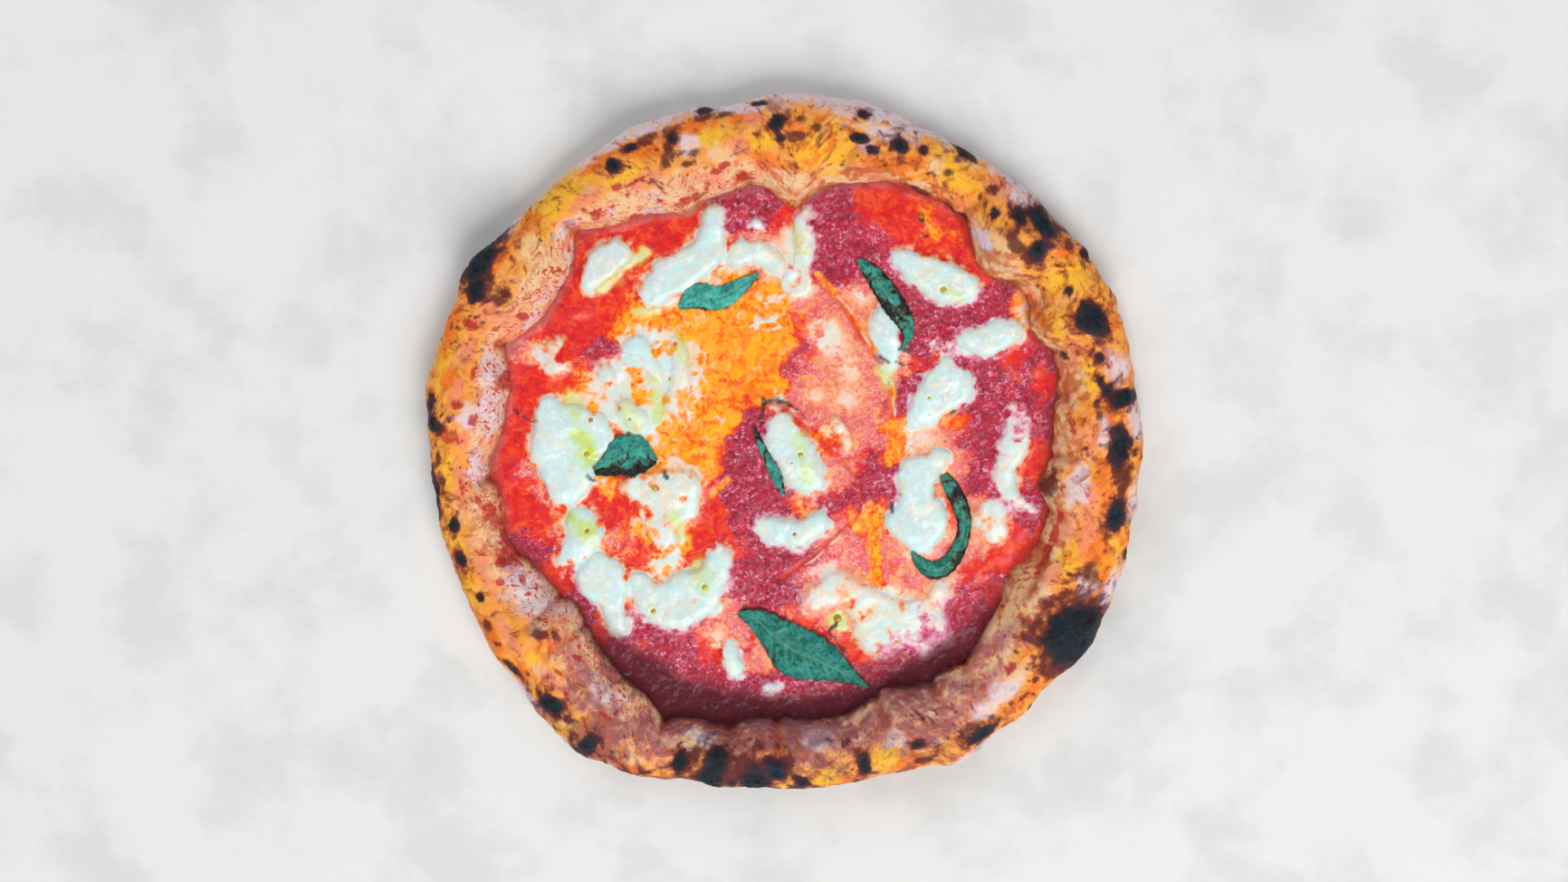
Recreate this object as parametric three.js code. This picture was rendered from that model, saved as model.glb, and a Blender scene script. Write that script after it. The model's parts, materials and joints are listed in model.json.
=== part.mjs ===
import * as THREE from 'three';

// A whole margherita pizza, seen from above with its widest knob of crust at the lower left.
// Millimetres, +Z up. The origin is on the flat underside, below the middle of the crust's outline.

// Driving sizes
const PIZZA_RADIUS = 155.5; // to the widest line of the rim, between its lobes
const TOPPED_RADIUS = 121; // to the foot of the rim's inner wall, between its lobes
const RIM_HEIGHT = 24; // underside to the crest, between its lobes
const BASE_THICKNESS = 4; // the baked dough under the sauce
const SAUCE_THICKNESS = 2.1;
const CHEESE_THICKNESS = 3.6; // the middle of a large melted piece, above its edge
const CHEESE_EDGE = 1.1; // the rim of a melted piece
const CHEESE_SLOPE = 6; // how far inside its outline a piece reaches its full thickness
const CHEESE_SOFTNESS = 1.6; // how softly the drops of a piece run together
const LEAF_THICKNESS = 0.8;
const GAP = 0.3; // air between neighbouring solids
const CHEESE_CLEARANCE = 1.3; // between melted pieces, and from them to the rim

// The rim's cross-section, as shares of its width and height
const CREST_SHARE = 0.5; // where the crest lies, from the foot to the widest line
const WIDEST_SHARE = 0.44; // how high the widest line is
const UNDERCUT_SHARE = 0.4; // how far the flat underside stays inside the widest line

// Unevenness: how high and how wide its waves are
const COARSE_CRAGS = { height: 1.1, width: 15 };
const FINE_CRAGS = { height: 0.7, width: 7 };
const SAUCE_WAVES = { height: 0.45, width: 19 };
const SAUCE_LUMPS = { height: 0.3, width: 8 };
const CHEESE_OUTLINE = { height: 0.8, width: 9 };
const CHEESE_BUMPS = { height: 0.25, width: 11 }; // as a share of the thickness
const LEAF_WAVES = { height: 0.25, width: 6 };

// Fineness. The outer ring of the toppings has six points for each ring, one for each rim step.
const TOPPING_RINGS = 21;
const RIM_STEPS = 6 * TOPPING_RINGS;
const WALL_STEPS = 7;
const SHOULDER_STEPS = 6;
const UNDER_STEPS = 3;
const LEAF_STEPS = 11;
const LEAF_STRIPS = 4;

const CRAG_SEED = 11;
const SAUCE_SEED = 23;
const CHEESE_SEED = 37;
const LEAF_SEED = 53;

// Lobes (rise above 0) and creases (rise below 0) of the rim, counterclockwise from +X in degrees.
// half: half the width in degrees. out and foot: how far the widest line and the foot move outwards.
const rimLobes = [
  { at: 4, half: 7, out: 2, foot: -3, rise: 1 },
  { at: 16, half: 6, out: 1, foot: 4, rise: -1 },
  { at: 25, half: 4, out: 2.5, foot: -3, rise: 2 },
  { at: 32, half: 3, out: 0.5, foot: 6, rise: -3 },
  { at: 43, half: 6, out: 0.5, foot: -5, rise: 5 },
  { at: 55, half: 7, out: -3.5, foot: 7, rise: -2 },
  { at: 67, half: 6, out: -4, foot: 3, rise: 0 },
  { at: 78, half: 6, out: 0, foot: -4, rise: 1 },
  { at: 88, half: 6, out: -1.5, foot: -14, rise: 3 },
  { at: 100, half: 6, out: -4, foot: -6, rise: 0 },
  { at: 112, half: 8, out: -1, foot: -10, rise: 2 },
  { at: 124, half: 5, out: -2.5, foot: -1, rise: 0 },
  { at: 134, half: 4, out: -4, foot: 9, rise: -5 },
  { at: 144, half: 6, out: 0, foot: -1.5, rise: 2 },
  { at: 151, half: 5, out: 4.5, foot: -1.5, rise: 2 },
  { at: 161, half: 4, out: 2, foot: 8.5, rise: -4 },
  { at: 171, half: 8, out: 3.5, foot: 2.5, rise: 2 },
  { at: 185, half: 6, out: 1, foot: 9, rise: -1 },
  { at: 198, half: 6, out: 1, foot: 9, rise: -2.5 },
  { at: 208, half: 6, out: 3, foot: 1, rise: 0 },
  { at: 218, half: 5, out: 4.5, foot: -3.5, rise: 4 },
  { at: 230, half: 6, out: 8, foot: 0.5, rise: 2 },
  { at: 238, half: 6, out: 9, foot: 5.5, rise: 1 },
  { at: 247, half: 4.5, out: 7.5, foot: 12, rise: -4 },
  { at: 257, half: 6, out: 2, foot: 8, rise: 1 },
  { at: 267, half: 6, out: -1, foot: 0.5, rise: 3 },
  { at: 280, half: 9, out: -1, foot: 3.5, rise: 2 },
  { at: 292, half: 4, out: 1.5, foot: -4.5, rise: 4 },
  { at: 300, half: 5, out: 8, foot: 1.5, rise: -2 },
  { at: 310, half: 6, out: 5, foot: 3.5, rise: 0 },
  { at: 323, half: 7, out: 5, foot: -1.5, rise: 2 },
  { at: 332, half: 6, out: 6, foot: -3, rise: -1 },
  { at: 342, half: 4.5, out: 3.5, foot: 0.5, rise: -1 },
  { at: 352, half: 6, out: 1.5, foot: -6.5, rise: 2 },
];

// Blisters and folds on top of the rim: where, how wide and how high.
const rimBlisters = [
  { x: 93, y: 92, radius: 11, height: 2.2 },
  { x: 134, y: 56, radius: 9, height: 1.8 },
  { x: 118, y: -11, radius: 9, height: 2 },
  { x: 128, y: -80, radius: 12, height: 2 },
  { x: 52, y: -112, radius: 12, height: 3 },
  { x: -13, y: -132, radius: 12, height: 1.6 },
  { x: -31, y: -141, radius: 9, height: 1.8 },
  { x: -107, y: -82, radius: 11, height: 3 },
  { x: -104, y: -115, radius: 9, height: 1.4 },
  { x: -150, y: 12, radius: 9, height: 1.5 },
  { x: -131, y: 82, radius: 10, height: 1.8 },
  { x: -70, y: 127, radius: 10, height: 1.8 },
  { x: -4, y: 140, radius: 10, height: 1.8 },
  { x: 49, y: 131, radius: 10, height: 1.4 },
];

// Outlines of the melted cheese are made of round drops and strands that run together.
const drop = (x, y, r) => ({ x0: x, y0: y, x1: x, y1: y, r });
const strand = (x0, y0, x1, y1, r) => ({ x0, y0, x1, y1, r });

// colour: white where the cheese is thick and fresh, cream where oil and sauce have run into it.
const mozzarellaPieces = [
  { name: 'upper_left', colour: 'white', of: [drop(-74, 85, 8), drop(-80, 79, 8.5), drop(-86, 71, 5.5)] },
  {
    name: 'finger', colour: 'white',
    of: [strand(-31, 103, -32, 84, 6), drop(-39, 81, 8), drop(-49, 74, 10.5), drop(-59, 66, 7.5)],
  },
  { name: 'arc', colour: 'cream', of: [drop(-20, 84, 7.5), strand(-11, 86, -3, 79, 5)] },
  { name: 'top_strip', colour: 'white', of: [strand(-16, 98.5, -8, 97, 3.2)] },
  {
    name: 'top_ring', colour: 'cream',
    of: [strand(9, 101, 9, 86, 5), drop(6, 72, 9)], holes: [drop(5, 71.5, 2.6)],
  },
  { name: 'left_ring', colour: 'cream', of: [drop(-101, 39, 9.5)], holes: [drop(-101, 40, 4)] },
  { name: 'bean', colour: 'white', of: [drop(-66, 41, 7), strand(-61, 42, -56, 30.5, 3.8)] },
  { name: 'lavender', colour: 'white', of: [strand(-81, 33, -76, 28.5, 3.8)] },
  {
    name: 'chain', colour: 'cream',
    of: [drop(-47, 45, 4.5), drop(-46, 37, 4), drop(-45, 29, 5), drop(-48, 18, 6.5)],
  },
  {
    name: 'left_large', colour: 'white',
    of: [
      drop(-104, 15, 7), drop(-103, 4, 9), drop(-109, -5, 6), drop(-98, -11, 10), drop(-98, -21, 8),
      drop(-90, -14, 7), drop(-93, 10, 8), drop(-84, 6, 8.5), drop(-81, 0, 7),
    ],
  },
  { name: 'beige', colour: 'cream', of: [drop(-70, 15, 6.5), drop(-65, 11, 5.5)] },
  {
    name: 'cream_middle', colour: 'cream',
    of: [
      drop(-68, -19, 5.5), drop(-50, -20, 9), drop(-42, -17, 6), drop(-45, -28, 8.5),
      drop(-57, -31, 9), drop(-53, -42, 7.5), drop(-62, -16, 5),
    ],
    holes: [drop(-60, -30, 3.4)],
  },
  {
    name: 'left_drip', colour: 'white',
    of: [drop(-82, -60, 11), drop(-86, -66, 5.5), strand(-75, -64, -74.5, -83, 5.2)],
  },
  {
    name: 'left_low', colour: 'white',
    of: [drop(-90, -35, 7), drop(-84, -41, 5), drop(-92, -47, 6.5), drop(-99, -53, 5)],
  },
  {
    name: 'crescent', colour: 'white',
    of: [
      drop(-29, -50, 6.5), drop(-30, -58, 7.5), drop(-36, -68, 9.5), drop(-46, -74, 10),
      drop(-56, -75, 7.5), drop(-62, -68, 6), drop(-65, -59, 3.6), drop(-45, -63, 6.5),
    ],
  },
  {
    name: 'triangle', colour: 'white',
    of: [drop(-24, -86, 3.2), drop(-25, -95, 4.6), strand(-25, -102, -19, -103, 4)],
  },
  { name: 'bright_drop', colour: 'white', of: [strand(-8.5, -109.5, -4, -109, 3.8)] },
  {
    name: 'middle_band', colour: 'white',
    of: [drop(-11, -36, 5.5), drop(-3, -39, 7), drop(6, -41, 6.5), drop(13, -37, 6.5), drop(19, -33, 4)],
  },
  {
    name: 'middle_leaf_shaped', colour: 'white',
    of: [drop(-1, 7, 8.5), drop(3, -2, 10), drop(8, -12, 9), drop(13, -17, 6)],
  },
  { name: 'small_middle', colour: 'cream', of: [strand(23, 11, 29, 0, 4.2)] },
  {
    name: 'under_fold', colour: 'white',
    of: [drop(44, 56, 5.5), drop(45, 49, 7.5), drop(52, 40, 4.5), drop(44, 35, 5)],
  },
  {
    name: 'upper_right', colour: 'white',
    of: [drop(51, 83, 5.5), drop(60, 77, 9), drop(70, 72, 9.5), drop(79, 70, 8)],
  },
  { name: 'right_high', colour: 'white', of: [drop(79, 46, 5), drop(89, 46, 7), drop(97, 50, 8)] },
  {
    name: 'right_middle', colour: 'white',
    of: [drop(71, 35, 5.5), drop(74, 26, 11), drop(64, 20, 8.5), drop(57, 12, 5), drop(65, 13, 5)],
  },
  {
    name: 'right_hook', colour: 'cream',
    of: [
      strand(103, 18, 100, 4, 4.6), strand(98, -2, 97, -18, 4.6), strand(101, -23, 111, -30, 3.6),
      strand(107, 8, 104, -3, 3.6),
    ],
    holes: [drop(104, 3, 1.6)],
  },
  { name: 'right_low', colour: 'cream', of: [drop(93, -28, 6.5), drop(94, -38, 7), drop(87, -32, 4)] },
  {
    name: 'right_of_middle', colour: 'white',
    of: [
      drop(59, -13, 9), drop(58, -24, 8), drop(62, -34, 11), drop(59, -43, 8), drop(48, -35, 5),
      drop(69, -5, 5),
    ],
  },
  {
    name: 'lace', colour: 'cream',
    of: [
      drop(13, -70, 7.5), drop(24, -64, 8), drop(35, -70, 8), drop(45, -77, 9.5), drop(53, -75, 6),
      drop(43, -88, 9), drop(38, -82, 7), strand(56, -85, 64, -93, 4.2), drop(70, -84, 5.5),
      drop(64, -76, 6), drop(70, -65, 5.5),
    ],
    holes: [drop(61, -66, 3.5)],
  },
];

// Basil leaves. spine: from the stalk to the tip, as x, y. left and right: half the width on each
// side of the spine, looking along it. arch: how far the middle stands up. curl: of the two edges.
const basilLeaves = [
  {
    name: 'teal', arch: 1.4, curl: 0.4,
    spine: [[-46, 60.5], [-38, 65], [-28, 65.5], [-19, 70], [-11, 76]],
    left: [0.6, 6, 4.6, 3.6, 0.6], right: [0.8, 5, 5.4, 3.4, 0.8],
  },
  {
    name: 'folded', arch: 2.4, curl: 0.2,
    spine: [[32.5, 82], [38, 76.5], [43.5, 69.5], [48.5, 62], [53, 55], [54.5, 48.5], [51.5, 42.5]],
    left: [1.2, 4, 5, 5.2, 4, 2.2, 0.6], right: [1.2, 3.4, 4.6, 4.8, 3.8, 2, 0.6],
  },
  {
    name: 'burnt', arch: 0.8, curl: 0.6,
    spine: [[-84, -11.5], [-78, -9], [-71, -5.5], [-65, -4.5], [-60, -6], [-56, -7.5]],
    left: [1.2, 4, 9, 8.5, 4.5, 1], right: [2.5, 5.5, 9, 9.5, 7, 1.4],
  },
  {
    name: 'narrow', arch: 0.6, curl: 0.4,
    spine: [[-13, 8], [-10.5, 1], [-6.5, -7], [-3, -14.5], [0, -22.5]],
    left: [0.7, 1.5, 2, 2.4, 0.7], right: [0.7, 1.5, 2, 2.4, 0.7],
  },
  {
    name: 'hook', arch: 1.6, curl: 0.3,
    spine: [
      [71, -13], [75, -19], [79, -28], [80, -37], [77.5, -46], [72.5, -53.5], [66, -56], [60, -52],
      [57, -47],
    ],
    left: [1.6, 3, 3.2, 3, 3.4, 4, 3.8, 2.4, 0.6], right: [2.4, 4, 3.8, 3, 3.2, 4, 4.2, 2.6, 0.6],
  },
  {
    name: 'large', arch: 2.6, curl: 0.8,
    spine: [[-20, -76], [-12, -79], [-4, -86], [4, -92], [14, -96], [24, -101], [31, -105], [38, -109]],
    left: [1.2, 6, 9.5, 11, 10.5, 6.5, 3.2, 0.6], right: [1.2, 4.5, 7, 11.5, 10.5, 6, 2.8, 0.6],
  },
];

const looks = {
  crust: { color: 0xe8ab5c, roughness: 0.75 },
  sauce: { color: 0xd6402c, roughness: 0.3 },
  white: { color: 0xd3e6e3, roughness: 0.28 },
  cream: { color: 0xe6dcc0, roughness: 0.32 },
  basil: { color: 0x147a5c, roughness: 0.4 },
};

// Seeded noise between -1 and 1, smooth over steps of 1
function latticeValue(i, j, k, seed) {
  let h = Math.imul(i, 374761393) ^ Math.imul(j, 668265263) ^ Math.imul(k, 2147483647);
  h ^= Math.imul(seed, 69069);
  h = Math.imul(h ^ (h >>> 13), 1274126177);
  h ^= h >>> 16;
  return ((h >>> 0) / 4294967295) * 2 - 1;
}

function noise(x, y, z, seed) {
  const i = Math.floor(x);
  const j = Math.floor(y);
  const k = Math.floor(z);
  const ease = (t) => t * t * (3 - 2 * t);
  const u = ease(x - i);
  const v = ease(y - j);
  const w = ease(z - k);
  let sum = 0;
  for (let a = 0; a < 2; a++) {
    for (let b = 0; b < 2; b++) {
      for (let c = 0; c < 2; c++) {
        const share = (a ? u : 1 - u) * (b ? v : 1 - v) * (c ? w : 1 - w);
        sum += share * latticeValue(i + a, j + b, k + c, seed);
      }
    }
  }
  return sum;
}

// Waves of a given height and width, without a change of height where z is left out
function waves({ height, width }, seed, x, y, z = 0) {
  return height * noise(x / width, y / width, z / width, seed);
}

// The rim at one angle: its foot, widest line and crest
function rimAt(degrees) {
  const rim = { widest: PIZZA_RADIUS, foot: TOPPED_RADIUS, crest: RIM_HEIGHT };
  for (const lobe of rimLobes) {
    const away = ((degrees - lobe.at + 540) % 360) - 180;
    const share = Math.exp(-((away / lobe.half) ** 2));
    rim.widest += lobe.out * share;
    rim.foot += lobe.foot * share;
    rim.crest += lobe.rise * share;
  }
  return rim;
}

// The rim's section from the foot over the crest and the widest line to the flat underside
function rimSection(degrees) {
  const { widest, foot, crest } = rimAt(degrees);
  const crestRadius = foot + CREST_SHARE * (widest - foot);
  const widestHeight = WIDEST_SHARE * crest;
  const flatRadius = widest - UNDERCUT_SHARE * (widest - foot);
  const section = [];
  for (let i = 0; i < WALL_STEPS; i++) {
    const turn = (Math.PI / 2) * (i / WALL_STEPS);
    const r = crestRadius - (crestRadius - foot) * Math.cos(turn);
    section.push({ r, z: BASE_THICKNESS + (crest - BASE_THICKNESS) * Math.sin(turn) });
  }
  for (let i = 0; i < SHOULDER_STEPS; i++) {
    const turn = (Math.PI / 2) * (i / SHOULDER_STEPS);
    const r = crestRadius + (widest - crestRadius) * Math.sin(turn);
    section.push({ r, z: widestHeight + (crest - widestHeight) * Math.cos(turn) });
  }
  for (let i = 0; i <= UNDER_STEPS; i++) {
    const turn = (Math.PI / 2) * (i / UNDER_STEPS);
    const r = flatRadius + (widest - flatRadius) * Math.cos(turn);
    section.push({ r, z: widestHeight * (1 - Math.sin(turn)) });
  }
  return section;
}

// Crags and blisters, which fade out at the foot and at the underside
function cragHeight(x, y, z) {
  const crags = waves(COARSE_CRAGS, CRAG_SEED, x, y, z) + waves(FINE_CRAGS, CRAG_SEED + 1, x, y, z);
  let blisters = 0;
  for (const spot of rimBlisters) {
    const away = Math.hypot(x - spot.x, y - spot.y) / spot.radius;
    blisters += spot.height * Math.exp(-away * away);
  }
  return crags + blisters;
}

function solidMesh(name, look, points, triangles) {
  const geometry = new THREE.BufferGeometry();
  geometry.setAttribute('position', new THREE.Float32BufferAttribute(points.flat(), 3));
  geometry.setIndex(triangles.flat());
  geometry.computeVertexNormals();
  const material = new THREE.MeshStandardMaterial({ ...look, metalness: 0, flatShading: true });
  const mesh = new THREE.Mesh(geometry, material);
  mesh.name = name;
  return mesh;
}

// The crust: one body of dough, a flat base with its uneven rim
function makeCrust() {
  const points = [];
  const rows = WALL_STEPS + SHOULDER_STEPS + UNDER_STEPS + 1;
  for (let step = 0; step < RIM_STEPS; step++) {
    const degrees = (360 * step) / RIM_STEPS;
    const direction = THREE.MathUtils.degToRad(degrees);
    rimSection(degrees).forEach(({ r, z }, row) => {
      const x = r * Math.cos(direction);
      const y = r * Math.sin(direction);
      const across = row / (rows - 1);
      const hold = Math.min(1, Math.sin(Math.PI * across) * 1.4) * Math.min(1, row / 2);
      const lift = row === rows - 1 ? 0 : cragHeight(x, y, z) * hold;
      const outwards = row > WALL_STEPS + 2 ? 0.5 * lift : 0;
      const upwards = row > WALL_STEPS + SHOULDER_STEPS ? 0 : lift;
      const reach = (r + outwards) / r;
      points.push([x * reach, y * reach, Math.max(0, z + upwards)]);
    });
  }
  const index = (step, row) => (step % RIM_STEPS) * rows + row;
  const triangles = [];
  for (let step = 0; step < RIM_STEPS; step++) {
    for (let row = 0; row < rows - 1; row++) {
      const a = index(step, row);
      const b = index(step, row + 1);
      const c = index(step + 1, row + 1);
      const d = index(step + 1, row);
      triangles.push([a, b, c], [a, c, d]);
    }
  }
  const topMiddle = points.push([0, 0, BASE_THICKNESS]) - 1;
  const underMiddle = points.push([0, 0, 0]) - 1;
  for (let step = 0; step < RIM_STEPS; step++) {
    triangles.push([topMiddle, index(step, 0), index(step + 1, 0)]);
    triangles.push([underMiddle, index(step + 1, rows - 1), index(step, rows - 1)]);
  }
  return solidMesh('crust', looks.crust, points, triangles);
}

function sauceRadius(degrees) {
  return rimAt(degrees).foot - GAP;
}

function sauceHeight(x, y) {
  const unevenness = waves(SAUCE_WAVES, SAUCE_SEED, x, y) + waves(SAUCE_LUMPS, SAUCE_SEED + 1, x, y);
  return BASE_THICKNESS + GAP + SAUCE_THICKNESS + unevenness;
}

// The topped disc as rings of triangles of nearly one size: ring k has 6k points
function makeToppedSurface() {
  const firstOf = (ring) => (ring === 0 ? 0 : 1 + 3 * ring * (ring - 1));
  const index = (ring, i) => firstOf(ring) + (ring === 0 ? 0 : i % (6 * ring));
  const points = [[0, 0, sauceHeight(0, 0)]];
  for (let ring = 1; ring <= TOPPING_RINGS; ring++) {
    for (let i = 0; i < 6 * ring; i++) {
      const degrees = (360 * i) / (6 * ring);
      const direction = THREE.MathUtils.degToRad(degrees);
      const r = (sauceRadius(degrees) * ring) / TOPPING_RINGS;
      const x = r * Math.cos(direction);
      const y = r * Math.sin(direction);
      points.push([x, y, sauceHeight(x, y)]);
    }
  }
  const triangles = [];
  for (let ring = 0; ring < TOPPING_RINGS; ring++) {
    for (let sixth = 0; sixth < 6; sixth++) {
      for (let i = 0; i <= ring; i++) {
        const inner = index(ring, sixth * ring + i);
        const outer = index(ring + 1, sixth * (ring + 1) + i);
        const outerNext = index(ring + 1, sixth * (ring + 1) + i + 1);
        triangles.push([inner, outer, outerNext]);
        if (i < ring) {
          triangles.push([inner, outerNext, index(ring, sixth * ring + i + 1)]);
        }
      }
    }
  }
  return { points, triangles, rimStart: firstOf(TOPPING_RINGS) };
}

// The tomato sauce: the topped surface with a flat underside just above the dough
function makeSauce(surface) {
  const points = surface.points.map((point) => [...point]);
  const triangles = surface.triangles.map((triangle) => [...triangle]);
  const underside = BASE_THICKNESS + GAP;
  const underStart = points.length;
  for (let i = 0; i < RIM_STEPS; i++) {
    const [x, y] = surface.points[surface.rimStart + i];
    points.push([x, y, underside]);
  }
  const middle = points.push([0, 0, underside]) - 1;
  for (let i = 0; i < RIM_STEPS; i++) {
    const next = (i + 1) % RIM_STEPS;
    const top = surface.rimStart + i;
    const topNext = surface.rimStart + next;
    triangles.push([top, underStart + i, underStart + next], [top, underStart + next, topNext]);
    triangles.push([middle, underStart + next, underStart + i]);
  }
  return solidMesh('tomato_sauce', looks.sauce, points, triangles);
}

// How far a point lies inside one strand: above 0 within it
function insideStrand(x, y, { x0, y0, x1, y1, r }) {
  const length2 = (x1 - x0) ** 2 + (y1 - y0) ** 2;
  const along = length2 === 0 ? 0 : ((x - x0) * (x1 - x0) + (y - y0) * (y1 - y0)) / length2;
  const t = Math.min(1, Math.max(0, along));
  return r - Math.hypot(x - x0 - t * (x1 - x0), y - y0 - t * (y1 - y0));
}

// How far a point lies inside a whole piece, whose drops run together softly
function insidePiece(x, y, piece) {
  let sum = 0;
  for (const part of piece.of) {
    sum += Math.exp(insideStrand(x, y, part) / CHEESE_SOFTNESS);
  }
  let inside = CHEESE_SOFTNESS * Math.log(sum) - 0.5 + waves(CHEESE_OUTLINE, CHEESE_SEED, x, y);
  for (const hole of piece.holes ?? []) {
    inside = Math.min(inside, -insideStrand(x, y, hole));
  }
  return inside;
}

// Keeps a cut off both ends of its edge, counted from the end that lies in the piece
function clampCut(share) {
  return Math.min(0.8, Math.max(0.1, share));
}

// Melted cheese lies on the surface's own triangles, cut to its outline along their edges.
// taken: how far each point of the surface lies inside the pieces made before, which it keeps clear of.
function makeMozzarella(piece, surface, taken) {
  const inside = surface.points.map(([x, y], i) => {
    const degrees = THREE.MathUtils.radToDeg(Math.atan2(y, x));
    const fromRim = sauceRadius(degrees) - Math.hypot(x, y) - CHEESE_CLEARANCE;
    const fromTaken = -taken[i] - CHEESE_CLEARANCE;
    return Math.min(insidePiece(x, y, piece), fromRim, fromTaken);
  });
  inside.forEach((value, i) => {
    taken[i] = Math.max(taken[i], value);
  });
  const under = [];
  const depth = [];
  const known = new Map();
  const corner = (i) => {
    if (!known.has(i)) {
      known.set(i, under.push(surface.points[i].map((v, axis) => v + (axis === 2 ? GAP : 0))) - 1);
      depth.push(inside[i]);
    }
    return known.get(i);
  };
  const cut = (i, j) => {
    const key = i < j ? `${i}_${j}` : `${j}_${i}`;
    if (!known.has(key)) {
      const [a, b] = i < j ? [i, j] : [j, i];
      const share = inside[a] / (inside[a] - inside[b]);
      const t = inside[a] > 0 ? clampCut(share) : 1 - clampCut(1 - share);
      const point = surface.points[a].map((v, axis) => v + t * (surface.points[b][axis] - v));
      point[2] += GAP;
      known.set(key, under.push(point) - 1);
      depth.push(0);
    }
    return known.get(key);
  };
  const faces = [];
  for (const triangle of surface.triangles) {
    const outline = [];
    for (let n = 0; n < 3; n++) {
      const here = triangle[n];
      const next = triangle[(n + 1) % 3];
      if (inside[here] > 0) outline.push(corner(here));
      if (inside[here] > 0 !== inside[next] > 0) outline.push(cut(here, next));
    }
    for (let n = 2; n < outline.length; n++) {
      faces.push([outline[0], outline[n - 1], outline[n]]);
    }
  }
  const body = largestBody(faces, under.length);
  return thicken(`mozzarella_${piece.name}`, looks[piece.colour], under, body, (i) => {
    const rise = Math.min(1, depth[i] / CHEESE_SLOPE);
    const dome = CHEESE_THICKNESS * Math.sqrt(1 - (1 - rise) ** 2);
    const [x, y] = under[i];
    return CHEESE_EDGE + dome * (1 + waves(CHEESE_BUMPS, CHEESE_SEED + 1, x, y));
  });
}

// Of faces that fall apart into several bodies, keeps the largest
function largestBody(faces, count) {
  const parent = Array.from({ length: count }, (_, i) => i);
  const find = (i) => {
    while (parent[i] !== i) i = parent[i];
    return i;
  };
  for (const [a, b, c] of faces) {
    parent[find(b)] = find(a);
    parent[find(c)] = find(a);
  }
  const sizes = new Map();
  for (const [a] of faces) sizes.set(find(a), (sizes.get(find(a)) ?? 0) + 1);
  const largest = [...sizes.entries()].sort((p, q) => q[1] - p[1])[0][0];
  return faces.filter(([a]) => find(a) === largest);
}

// Closes a sheet of faces into a body: the sheet is its underside, raised by height(i) on top
function thicken(name, look, sheet, faces, height) {
  const used = [...new Set(faces.flat())];
  const place = new Map(used.map((i, n) => [i, n]));
  const below = used.map((i) => sheet[i]);
  const above = used.map((i) => [sheet[i][0], sheet[i][1], sheet[i][2] + height(i)]);
  const count = used.length;
  const triangles = [];
  const edges = new Map();
  for (const face of faces) {
    const [a, b, c] = face.map((i) => place.get(i));
    triangles.push([c, b, a], [a + count, b + count, c + count]);
    for (const [p, q] of [[a, b], [b, c], [c, a]]) {
      if (!edges.delete(`${q}_${p}`)) edges.set(`${p}_${q}`, [p, q]);
    }
  }
  for (const [p, q] of edges.values()) {
    triangles.push([p, q, q + count], [p, q + count, p + count]);
  }
  return solidMesh(name, look, [...below, ...above], triangles);
}

// Height of the highest upward face over a point, among the meshes that lie below the leaves
function makeHeightFinder(meshes) {
  const cell = 8;
  const cells = new Map();
  for (const mesh of meshes) {
    const position = mesh.geometry.getAttribute('position');
    const order = mesh.geometry.getIndex();
    for (let n = 0; n < order.count; n += 3) {
      const [a, b, c] = [0, 1, 2].map((m) =>
        new THREE.Vector3().fromBufferAttribute(position, order.getX(n + m)),
      );
      const double = (b.x - a.x) * (c.y - a.y) - (c.x - a.x) * (b.y - a.y);
      if (double <= 1e-9) continue;
      const low = [Math.min(a.x, b.x, c.x), Math.min(a.y, b.y, c.y)].map((v) => Math.floor(v / cell));
      const high = [Math.max(a.x, b.x, c.x), Math.max(a.y, b.y, c.y)].map((v) => Math.floor(v / cell));
      for (let i = low[0]; i <= high[0]; i++) {
        for (let j = low[1]; j <= high[1]; j++) {
          const key = `${i}_${j}`;
          if (!cells.has(key)) cells.set(key, []);
          cells.get(key).push({ a, b, c, double });
        }
      }
    }
  }
  return (x, y) => {
    let height = -Infinity;
    for (const { a, b, c, double } of cells.get(`${Math.floor(x / cell)}_${Math.floor(y / cell)}`) ?? []) {
      const u = ((b.x - x) * (c.y - y) - (c.x - x) * (b.y - y)) / double;
      const v = ((c.x - x) * (a.y - y) - (a.x - x) * (c.y - y)) / double;
      const w = 1 - u - v;
      if (Math.min(u, v, w) >= -1e-6) height = Math.max(height, u * a.z + v * b.z + w * c.z);
    }
    return height;
  };
}

// A value of a list, taken smoothly at a share of its length
function smoothValue(list, share) {
  const at = share * (list.length - 1);
  const i = Math.min(list.length - 2, Math.floor(at));
  const t = at - i;
  const eased = t * t * (3 - 2 * t);
  return list[i] + eased * (list[i + 1] - list[i]);
}

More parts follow.
